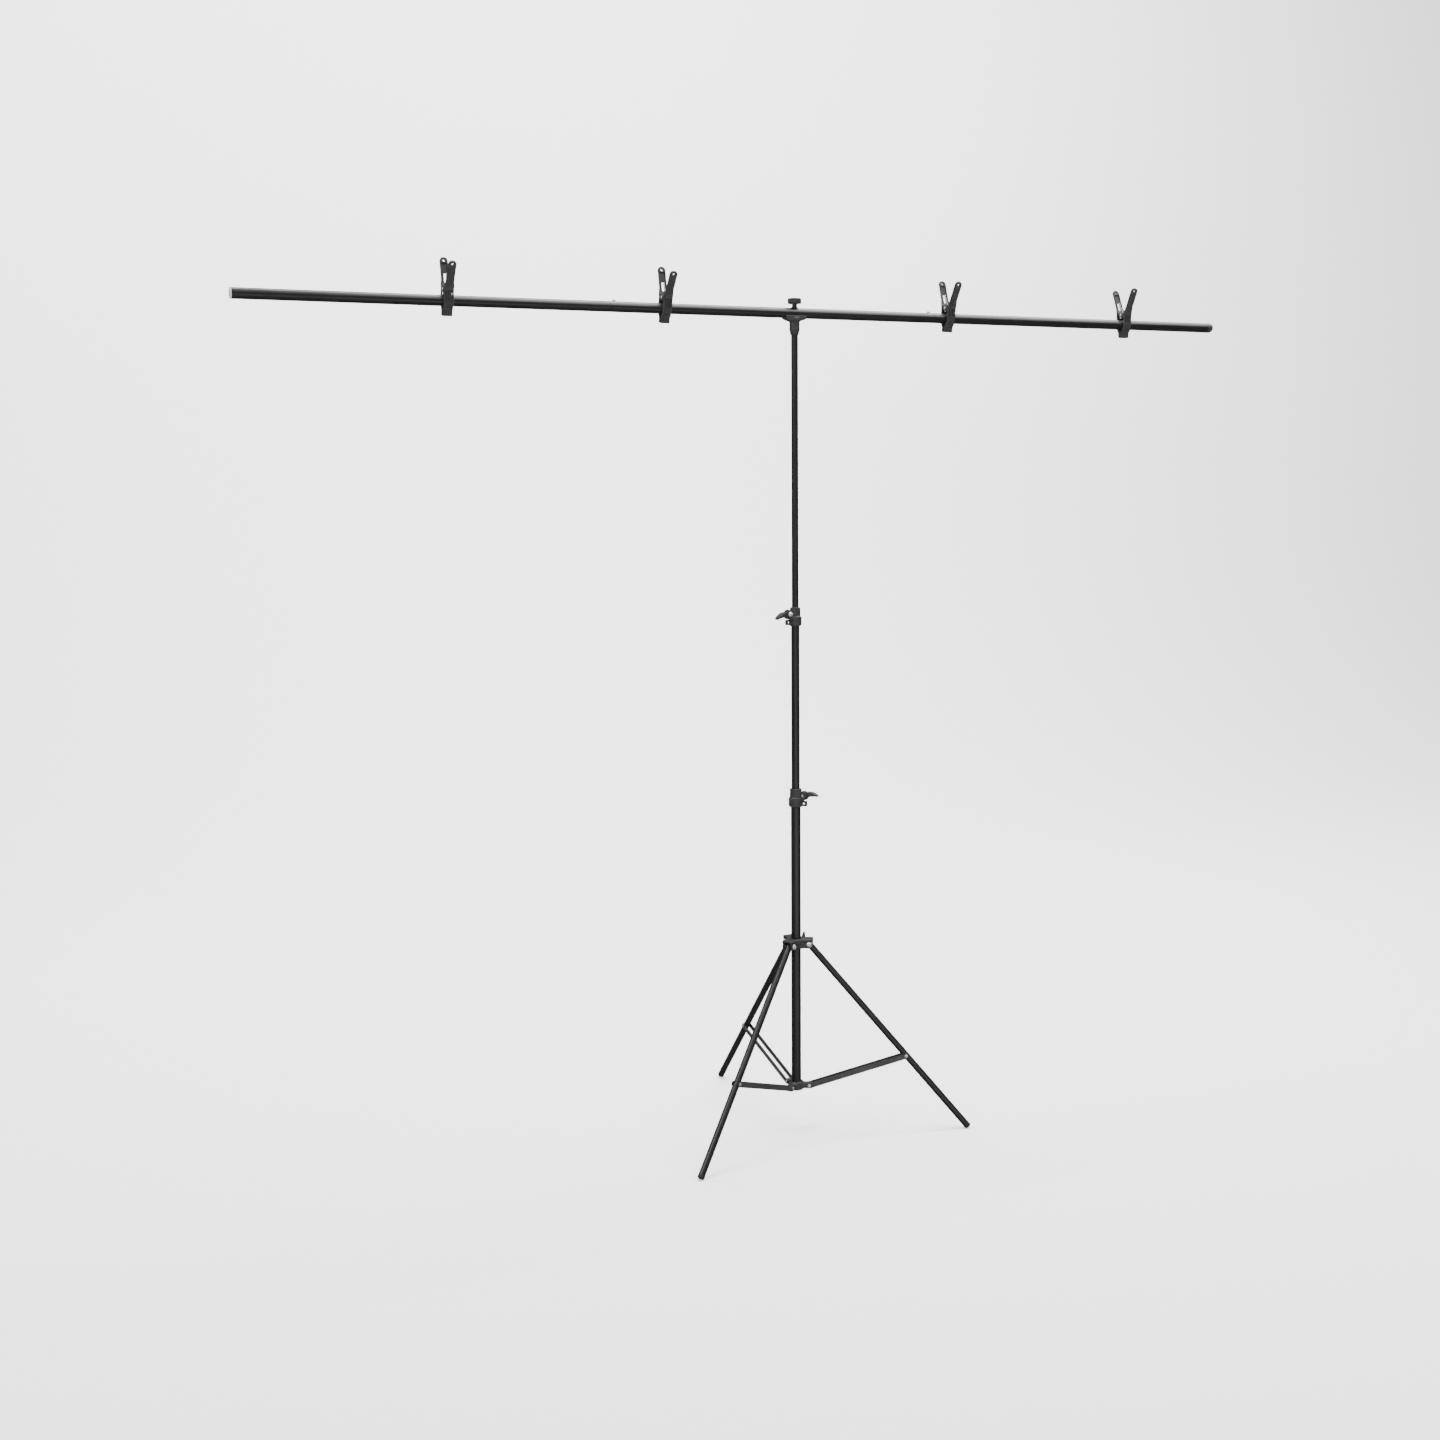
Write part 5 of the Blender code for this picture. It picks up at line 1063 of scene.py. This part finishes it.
BAR_KNOB_RADIUS = 0.0128
BAR_KNOB_THICKNESS = 0.0108
BAR_KNOB_LOBES = 6
LOBE_HEIGHT = 0.0009
BAR_KNOB_REACH = 0.0138
BAR_KNOB_EDGE = 0.0016
CROWN_RADIUS = 0.060
CROWN_ROUNDING = 0.001
SKIRT_WALL = 0.0026
SKIRT_DEPTH = 0.004
NECK_HEIGHT = 0.0078
WAIST_RADIUS = 0.0042
WAIST_TOP_RADIUS = 0.0066
WAIST_FOOT = 0.003
WAIST_SINK = 0.005
WAIST_FILLET = 0.003
FLANGE_HEIGHT = 0.0035
FLANGE_RADIUS = 0.0066
FLANGE_TOP_RADIUS = 0.0044
FLANGE_EDGE = 0.0004
FLANGE_FILLET = 0.001
BAR_SCREW_DROP = 0.0065


def bar_knob_field(p):
    """A lobed disc, hollow under its skirt, on a waisted neck with a flange; the screw runs below it."""
    seat = BAR_RADIUS + GAP
    head_z = seat + NECK_HEIGHT
    away, angle = np.hypot(p[..., 0], p[..., 1]), np.arctan2(p[..., 1], p[..., 0])
    rim = away - BAR_KNOB_RADIUS - LOBE_HEIGHT * np.cos(BAR_KNOB_LOBES * angle)
    z = p[..., 2]
    half = BAR_KNOB_THICKNESS / 2
    disc = meet(rim, np.abs(z - head_z - half) - half, BAR_KNOB_EDGE)
    crown_centre = np.array([0, 0, head_z + BAR_KNOB_THICKNESS - CROWN_RADIUS])
    crown = np.linalg.norm(p - crown_centre, axis=-1) - CROWN_RADIUS
    disc = meet(disc, crown, CROWN_ROUNDING)
    skirt = np.maximum(rim + SKIRT_WALL, z - head_z - SKIRT_DEPTH)
    disc = cut(disc, skirt, CROWN_ROUNDING)
    waist_low, waist_high = (0, 0, seat + WAIST_FOOT), (0, 0, head_z + WAIST_SINK)
    waist = rod_field(p, waist_low, waist_high, WAIST_RADIUS, SCREW_EDGE, WAIST_TOP_RADIUS)
    flange_top = (0, 0, seat + FLANGE_HEIGHT)
    flange = rod_field(p, (0, 0, seat), flange_top, FLANGE_RADIUS, FLANGE_EDGE, FLANGE_TOP_RADIUS)
    knob = join(join(disc, waist, WAIST_FILLET), flange, FLANGE_FILLET)
    screw_low, screw_high = (0, 0, -BAR_RADIUS - BAR_SCREW_DROP), (0, 0, seat + SCREW_SINK)
    return np.minimum(knob, rod_field(p, screw_low, screw_high, SCREW_RADIUS, SCREW_EDGE))


bar_knob = moulding(
    "bar_knob_lobed",
    bar_knob_field,
    (-BAR_KNOB_REACH, -BAR_KNOB_REACH, -BAR_RADIUS - BAR_SCREW_DROP),
    (BAR_KNOB_REACH, BAR_KNOB_REACH, BAR_RADIUS + GAP + NECK_HEIGHT + BAR_KNOB_THICKNESS),
    FINE_CELL,
    place((COLUMN_X, BAR_Y, BAR_Z)),
)
fit(bar_knob, "bar_knob", "black_plastic", MOULDED_ABS, "bar_knob")

# Clips: two moulded nylon halves to each, hinged on a steel pin over the crossbar. The handles are
# channels, open inwards, with a hang hole near the end and grip ridges outside; the jaws close below.

CLIP_HALF_WIDTH = 0.0087
GRIP_HALF_WIDTH = 0.00725
NARROWING_RISE = 0.008
CLIP_WALL = 0.0042
CLIP_EDGE = 0.0008
CLIP_OUTLINE_EDGE = 0.0009
CLIP_PIN_Z = BAR_RADIUS + 0.0095
CLIP_KNEE_Z = BAR_RADIUS + 0.0145
CLIP_LEAN = math.radians(25.7)
KNEE_OVERLAP = 0.001
KNEE_FILLET = 0.004
HANDLE_LENGTH = 0.053
HANDLE_SINK = 0.004
BOW_TOP = 0.002
BOW_TURN = 0.75
BOW_LIMIT = 0.0035
BOW_FILLET = 0.002
JAW_Z = -BAR_RADIUS - 0.0165
JAW_TOP = -0.0075
JAW_THICKNESS = 0.0062
JAW_STRAIGHT = 0.0075
JAW_FLARE_HEIGHT = 0.006
JAW_FLARE = 0.0035
JAW_FILLET = 0.003
HANG_HOLE_INSET = 0.0065
HANG_HOLE_RADIUS = 0.0022
HANG_HOLE_EDGE = 0.0003
CHANNEL_HALF_WIDTH = GRIP_HALF_WIDTH - 0.0018
CHANNEL_START = 0.005
CHANNEL_END = HANDLE_LENGTH - 2 * HANG_HOLE_INSET + 0.002
CHANNEL_DEPTH = 0.0024
CHANNEL_ROUNDING = 0.001
CHANNEL_EDGE = 0.0006
ABOVE_CHANNEL = -0.01
HANDLE_SLOT_HALF_WIDTH = 0.0019
HANDLE_SLOT_START = 0.007
HANDLE_SLOT_END = 0.024
HANDLE_SLOT_ROUNDING = 0.0018
CLIP_WINDOW_HALF_WIDTH = 0.0036
CLIP_WINDOW_DROP = 0.0045
CLIP_WINDOW_RISE = 0.0035
CLIP_WINDOW_REACH = 0.03
CLIP_WINDOW_ROUNDING = 0.0032
CLIP_PIN_RADIUS = 0.002
CLIP_PIN_HEAD_RADIUS = 0.0032
CLIP_PIN_HEAD_HEIGHT = 0.0011
CLIP_BORE_EDGE = 0.0004
CLIP_EYE_RADIUS = 0.0042
EAR_WIDTH = 0.0024
EAR_SETBACK = 0.0002
EAR_RISE = 0.35
EAR_RISE_START = 0.001
EAR_RISE_LENGTH = 1.06
CLIP_EAR_EDGE = 0.0005
CLIP_EAR_FILLET = 0.001
OUTER_EAR = CLIP_HALF_WIDTH - EAR_SETBACK - EAR_WIDTH
INNER_EAR = OUTER_EAR - GAP - EAR_WIDTH
CLIP_HUG = BAR_RADIUS + GAP
GROOVE_PITCH = 0.0036
GROOVE_HALF_WIDTH = 0.0006
GROOVE_DEPTH = 0.0005
GROOVE_EDGE = 0.0004
GRIP_GROOVES_REACH = 0.0062
GRIP_GROOVES_START = 0.004
GRIP_GROOVES_INSET = 0.013
BODY_GROOVES_REACH = 0.0072
BODY_GROOVES_LIFT = 0.0015


def clip_half_field(p, ear_face, pierced):
    """One half on the +Y side, from plates that follow its side view: jaw, bow round the tube, body, handle.

    The pierced half has a slot through its handle and a window over the crossbar.
    """
    x, y, z = p[..., 0], p[..., 1], p[..., 2]
    half_wall = CLIP_WALL / 2
    up_y, up_z = math.sin(CLIP_LEAN), math.cos(CLIP_LEAN)
    along = (y - BAR_RADIUS) * up_y + (z - CLIP_KNEE_Z) * up_z
    out = (y - BAR_RADIUS) * up_z - (z - CLIP_KNEE_Z) * up_y
    handle_ends = np.maximum(along - HANDLE_LENGTH, -along - HANDLE_SINK)
    handle = meet(np.abs(out - half_wall) - half_wall, handle_ends, CLIP_EDGE)
    body_ends = np.maximum(z - CLIP_KNEE_Z - KNEE_OVERLAP, -z)
    body = meet(np.abs(y - CLIP_HUG - half_wall) - half_wall, body_ends, CLIP_EDGE)
    ring = np.abs(np.hypot(y, z) - CLIP_HUG - half_wall) - half_wall
    bow_side = y * math.sin(BOW_TURN) + z * math.cos(BOW_TURN)
    bow = np.maximum(np.maximum(ring, z - BOW_TOP), -bow_side - BOW_LIMIT)
    flare = np.clip((z - JAW_Z - JAW_STRAIGHT) / JAW_FLARE_HEIGHT, 0, 1) ** 2 * JAW_FLARE
    jaw_mid = GAP / 2 + JAW_THICKNESS / 2 + flare
    jaw = meet(np.abs(y - jaw_mid) - JAW_THICKNESS / 2, np.maximum(JAW_Z - z, z - JAW_TOP), CLIP_EDGE)
    side = join(join(handle, body, KNEE_FILLET), join(bow, jaw, JAW_FILLET), BOW_FILLET)
    side = np.maximum(np.maximum(side, CLIP_HUG - np.hypot(y, z)), GAP / 2 - y)
    narrowing = np.clip((z - CLIP_PIN_Z - NARROWING_RISE) / NARROWING_RISE, 0, 1)
    width = CLIP_HALF_WIDTH + (GRIP_HALF_WIDTH - CLIP_HALF_WIDTH) * narrowing
    end_y = HANDLE_LENGTH - GRIP_HALF_WIDTH
    round_end = np.where(along > end_y, np.hypot(x, along - end_y) - GRIP_HALF_WIDTH, np.abs(x) - width)
    half = meet(side, round_end, CLIP_OUTLINE_EDGE)
    grip = np.stack([x, out, along], axis=-1)
    channel_low = (-CHANNEL_HALF_WIDTH, ABOVE_CHANNEL, CHANNEL_START)
    channel_high = (CHANNEL_HALF_WIDTH, CHANNEL_DEPTH, CHANNEL_END)
    half = cut(half, box_field(grip, channel_low, channel_high, CHANNEL_ROUNDING), CHANNEL_EDGE)
    if pierced:
        slot_low = (-HANDLE_SLOT_HALF_WIDTH, ABOVE_CHANNEL, HANDLE_SLOT_START)
        slot_high = (HANDLE_SLOT_HALF_WIDTH, THROUGH, HANDLE_SLOT_END)
        slot = box_field(grip, slot_low, slot_high, HANDLE_SLOT_ROUNDING)
        window_low = (-CLIP_WINDOW_HALF_WIDTH, 0, CLIP_PIN_Z - CLIP_WINDOW_DROP)
        window_high = (CLIP_WINDOW_HALF_WIDTH, CLIP_WINDOW_REACH, CLIP_PIN_Z + CLIP_WINDOW_RISE)
        window = box_field(p, window_low, window_high, CLIP_WINDOW_ROUNDING)
        half = cut(cut(half, slot, HOLE_EDGE), window, HOLE_EDGE)
    ridge = np.abs(np.mod(x, GROOVE_PITCH) - GROOVE_PITCH / 2) - GROOVE_HALF_WIDTH
    groove = np.maximum(np.maximum(ridge, np.abs(x) - GRIP_GROOVES_REACH), CLIP_WALL - GROOVE_DEPTH - out)
    groove_ends = np.maximum(GRIP_GROOVES_START - along, along - HANDLE_LENGTH + GRIP_GROOVES_INSET)
    half = cut(half, np.maximum(groove, groove_ends), GROOVE_EDGE)
    face = np.maximum(np.hypot(y, z) - CLIP_HUG - CLIP_WALL, np.where(z > 0, y - CLIP_HUG - CLIP_WALL, -1))
    face = np.where(z < JAW_TOP, np.minimum(face, y - jaw_mid - JAW_THICKNESS / 2), face)
    low_groove = np.maximum(np.maximum(ridge, np.abs(x) - BODY_GROOVES_REACH), -GROOVE_DEPTH - face)
    low_groove_ends = np.maximum(JAW_Z + BODY_GROOVES_LIFT - z, z - CLIP_PIN_Z)
    half = cut(half, np.maximum(low_groove, low_groove_ends), GROOVE_EDGE)
    hang = np.hypot(x, along - HANDLE_LENGTH + HANG_HOLE_INSET) - HANG_HOLE_RADIUS
    half = cut(half, hang, HANG_HOLE_EDGE)
    eye = np.hypot(y, z - CLIP_PIN_Z) - CLIP_EYE_RADIUS
    web_low = (-1, 0, CLIP_PIN_Z - CLIP_EYE_RADIUS)
    web = box_field(p, web_low, (1, CLIP_HUG + half_wall, CLIP_PIN_Z + CLIP_EYE_RADIUS), 0)
    slope = (z - CLIP_PIN_Z - EAR_RISE * (y + EAR_RISE_START) - CLIP_EYE_RADIUS) / EAR_RISE_LENGTH
    ear = np.minimum(eye, np.maximum(web, slope))
    ear_middle = ear_face + EAR_WIDTH / 2
    ear = meet(ear, np.abs(np.abs(x) - ear_middle) - EAR_WIDTH / 2, CLIP_EAR_EDGE)
    half = join(half, ear, CLIP_EAR_FILLET)
    return cut(half, np.hypot(y, z - CLIP_PIN_Z) - CLIP_PIN_RADIUS - GAP, CLIP_BORE_EDGE)


def clip_nylon():
    """Black glass-filled nylon: greyish, with faint flow streaks down the mould and a dry sheen."""
    skin = {"IOR": 1.53, "Specular IOR Level": 0.32}
    finish, tree, shader, point = new_finish("glass_filled_nylon", **skin)
    # The streaks are about 2.4 mm wide and 20 mm long; the grain of 0.1 mm is drawn at 0.5 mm to show.
    stretched = add_node(tree, "ShaderNodeMapping", {"Vector": point, "Scale": (1.0, 1.0, 0.12)})
    streaked = stretched.outputs["Vector"]
    flow = add_node(tree, "ShaderNodeTexNoise", {"Vector": streaked, "Scale": 420.0, "Detail": 4.0})
    grain = add_node(tree, "ShaderNodeTexNoise", {"Vector": point, "Scale": 2100.0, "Detail": 2.0})
    tint(tree, flow.outputs["Fac"], shader.inputs["Base Color"], "1e1e20", "353537")
    vary(tree, flow.outputs["Fac"], shader.inputs["Roughness"], 0.48, 0.66)
    roughen(tree, grain.outputs["Fac"], shader, 0.00003)
    return finish


def spring_steel():
    """Drawn spring wire: bright, hard and smooth, a little darker than zinc plate."""
    finish, tree, shader, point = new_finish("drawn_spring_wire", **{"Metallic": 1.0})
    # The die leaves it brighter and duller by turns, every 1.1 mm or so.
    drawn = add_node(tree, "ShaderNodeTexNoise", {"Vector": point, "Scale": 900.0, "Detail": 3.0})
    tint(tree, drawn.outputs["Fac"], shader.inputs["Base Color"], "9c9c9a", "d2d2d0")
    vary(tree, drawn.outputs["Fac"], shader.inputs["Roughness"], 0.18, 0.3)
    return finish


SPRING_WIRE_RADIUS = 0.0006
SPRING_PLAY = 0.0006
SPRING_REST = 0.024
SPRING_TURNS = 2
SPRING_EAR_GAP = 0.0005
COIL_STEPS = 32
ARM_STEPS = 8


def spring_path():
    """The wire's middle line: down from one handle, two turns round the pin along it, up the other handle."""
    radius = CLIP_PIN_RADIUS + SPRING_PLAY + SPRING_WIRE_RADIUS
    up = np.array([math.sin(CLIP_LEAN), math.cos(CLIP_LEAN)])
    inward = np.array([-up[1], up[0]])
    lift = SPRING_WIRE_RADIUS + GAP - CHANNEL_DEPTH
    rest = np.array([BAR_RADIUS, CLIP_KNEE_Z]) + up * SPRING_REST + inward * lift
    reach = rest - np.array([0, CLIP_PIN_Z])
    leave = math.atan2(reach[1], reach[0]) - math.acos(radius / np.linalg.norm(reach))
    start = math.pi - leave
    sweep = SPRING_TURNS * math.tau + math.tau + leave - start
    half_width = INNER_EAR - SPRING_EAR_GAP - SPRING_WIRE_RADIUS
    share = np.linspace(0, 1, COIL_STEPS * SPRING_TURNS)
    angle = start + sweep * share
    coil_y, coil_z = radius * np.cos(angle), CLIP_PIN_Z + radius * np.sin(angle)
    coil = np.stack([half_width * (2 * share - 1), coil_y, coil_z], axis=1)
    first, last = np.array([-half_width, -rest[0], rest[1]]), np.array([half_width, rest[0], rest[1]])
    run = np.linspace(0, 1, ARM_STEPS)[:-1, None]
    return np.vstack([first + (coil[0] - first) * run, coil, last + (coil[-1] - last) * run[::-1]])


def wire_surface(name, path, radius, matrix, turns=12):
    """A round wire: a circle carried along a path, square to it, with domed ends."""
    tangent = np.gradient(path, axis=0)
    tangent /= np.linalg.norm(tangent, axis=1)[:, None]
    side = np.cross(tangent, (1.0, 0, 0))
    side /= np.linalg.norm(side, axis=1)[:, None]
    other = np.cross(tangent, side)
    angle = np.linspace(0, math.tau, turns, endpoint=False)[None, :, None]
    ring = side[:, None] * np.cos(angle) + other[:, None] * np.sin(angle)
    dome = np.linspace(0, math.pi / 2, 5)[:, None, None]
    first = path[0] - tangent[0] * radius * np.cos(dome) + ring[0] * radius * np.sin(dome)
    last = path[-1] + tangent[-1] * radius * np.cos(dome[::-1]) + ring[-1] * radius * np.sin(dome[::-1])
    grid = np.concatenate([first, path[1:-1, None] + ring[1:-1] * radius, last])
    return surface(name, moved(grid[::-1], matrix), close_columns=True)


CLIP_NYLON = clip_nylon()
SPRING_STEEL = spring_steel()
CLIP_SPREAD = 0.037
CLIP_RISE = 0.0495
clip_low = (-CLIP_HALF_WIDTH, -CLIP_EYE_RADIUS, JAW_Z)
clip_high = (CLIP_HALF_WIDTH, CLIP_SPREAD, CLIP_KNEE_Z + CLIP_RISE)
half_turn = place((0, 0, 0), (0, 0, 1), (-1, 0, 0))
back_half = moulding(
    "back_half", lambda p: clip_half_field(p, INNER_EAR, True), clip_low, clip_high, CELL, np.eye(4)
)
front_half = moulding(
    "front_half", lambda p: clip_half_field(p, OUTER_EAR, False), clip_low, clip_high, CELL, half_turn
)
pin_half = CLIP_HALF_WIDTH + GAP
clip_pin_cut = dome_profile(CLIP_PIN_RADIUS, pin_half, CLIP_PIN_HEAD_RADIUS, CLIP_PIN_HEAD_HEIGHT)
for number in (1, 2, 3, 4):
    clip_body = "clip_%d" % number
    pivot = np.array(JOINTS[clip_body + "_squeeze"]["pos_m"])
    upright = pivot - (pivot[0], BAR_Y, BAR_Z)
    clip_place = place((pivot[0], BAR_Y, BAR_Z), upright, (1, 0, 0))
    halves = (front_half, "_front", clip_body), (back_half, "_back", clip_body + "_back")
    for half, half_name, half_body in halves:
        piece = bpy.data.objects.new(clip_body + half_name + "_half", half.data.copy())
        bpy.context.scene.collection.objects.link(piece)
        piece.data.transform(Matrix(clip_place.tolist()))
        fit(piece, half_body, "clip_nylon", CLIP_NYLON, clip_body + half_name)
    pin_place = place(pivot, (1, 0, 0), upright)
    pin = turned(clip_body + "_hinge_pin", clip_pin_cut, pin_place, HEAD_TURNS, closed=False)
    fit(pin, clip_body, "bright_steel", ZINC_PLATE, clip_body + "_pin")
    spring = wire_surface(clip_body + "_torsion_spring", spring_path(), SPRING_WIRE_RADIUS, clip_place)
    fit(spring, clip_body, "bright_steel", SPRING_STEEL, clip_body + "_spring")
bpy.data.objects.remove(back_half)
bpy.data.objects.remove(front_half)

# Studio: a sheet of white acrylic, lit a little from behind, that is a floor and sweeps up into a wall.
# Soft lights hang overhead, in front, to the left and over the wall, and a low one stands for the light
# off the floor. The camera is where the photograph was taken.

SWEEP_RADIUS = 1.6
SWEEP_WALL_Y = 3.6
SWEEP_STEPS = 24
FLOOR_REACH = 9.0
CAMERA_AT = (-1.40012, -3.15835, 1.24329)
CAMERA_HEADING = math.radians(-22.5207)
CAMERA_TILT = math.radians(90 - 7.1454)
CAMERA_ROLL = math.radians(-0.4536)
CAMERA_LENS = 44.082
LIGHT_WIDTH_ALONG = (1, 0, 0.001)
ACRYLIC_GLOW = 0.5
ROOM_GLOW = 0.12


def sweep_surface():
    """A level floor, a quarter round and a wall, as one profile carried sideways."""
    turn = np.linspace(0, math.pi / 2, SWEEP_STEPS)
    bend_y = SWEEP_WALL_Y - SWEEP_RADIUS + SWEEP_RADIUS * np.sin(turn)
    bend = np.stack([bend_y, SWEEP_RADIUS * (1 - np.cos(turn))], axis=1)
    profile = np.vstack([[(-FLOOR_REACH, 0)], bend, [(SWEEP_WALL_Y, FLOOR_REACH)]])
    across = np.linspace(-FLOOR_REACH, FLOOR_REACH, 3)[:, None]
    away, height = profile[:, 0], profile[:, 1]
    grid = np.stack([across + 0 * away, 0 * across + away, 0 * across + height], axis=-1)
    return surface("acrylic_sweep", grid)


def soft_light(name, at, towards, width, height, power):
    """A rectangular area light at one point, facing another."""
    lamp = bpy.data.lights.new(name, "AREA")
    lamp.shape = "RECTANGLE"
    lamp.size, lamp.size_y, lamp.energy = width, height, power
    holder = bpy.data.objects.new(name, lamp)
    bpy.context.scene.collection.objects.link(holder)
    facing = np.array(at, float) - np.array(towards, float)
    holder.matrix_world = Matrix(place(at, facing, LIGHT_WIDTH_ALONG).tolist())


# Opal acrylic with a sanded face: white, with no gloss, and a little light of its own.
glow = {"Roughness": 0.95, "Emission Strength": ACRYLIC_GLOW, "Emission Color": linear("ffffff")}
acrylic, tree, shader, point = new_finish("backlit_acrylic", **glow)
shader.inputs["Base Color"].default_value = linear("f4f4f3")
sweep = sweep_surface()
sweep.data.materials.append(acrylic)
sweep.visible_glossy = False
# Each light's place, the point that it faces, its width and height in metres, and its power in watts.
LIGHTS = {
    "overhead_light": ((1.5, -0.6, 3.9), (1.1, 0, 0.4), 3.4, 4.6, 300),
    "front_light": ((-1.9, -4.6, 1.3), (0, 0, 0.9), 2.4, 1.6, 14),
    "left_light": ((-3.3, -1.4, 3.3), (0, 0, 0.7), 1.4, 1.8, 90),
    "bounce_light": ((-0.3, -2.3, 0.05), (0, 0, 1.6), 3.6, 1.2, 16),
    "wall_light": ((0, 0.6, 5.0), (0, 3.6, 1.6), 7.0, 1.0, 560),
}
for light_name, light in LIGHTS.items():
    soft_light(light_name, *light)
world = bpy.data.worlds.new("studio")
bpy.context.scene.world = world
world.use_nodes = True
world.node_tree.nodes["Background"].inputs["Color"].default_value = linear("ffffff")
world.node_tree.nodes["Background"].inputs["Strength"].default_value = ROOM_GLOW

view = bpy.data.cameras.new("photograph_view")
view.sensor_width = 36.0
view.lens = CAMERA_LENS
camera = bpy.data.objects.new("photograph_view", view)
bpy.context.scene.collection.objects.link(camera)
heading = Matrix.Rotation(CAMERA_HEADING, 4, "Z")
tilt = Matrix.Rotation(CAMERA_TILT, 4, "X")
roll = Matrix.Rotation(CAMERA_ROLL, 4, "Z")
camera.matrix_world = Matrix.Translation(CAMERA_AT) @ heading @ tilt @ roll
bpy.context.scene.camera = camera
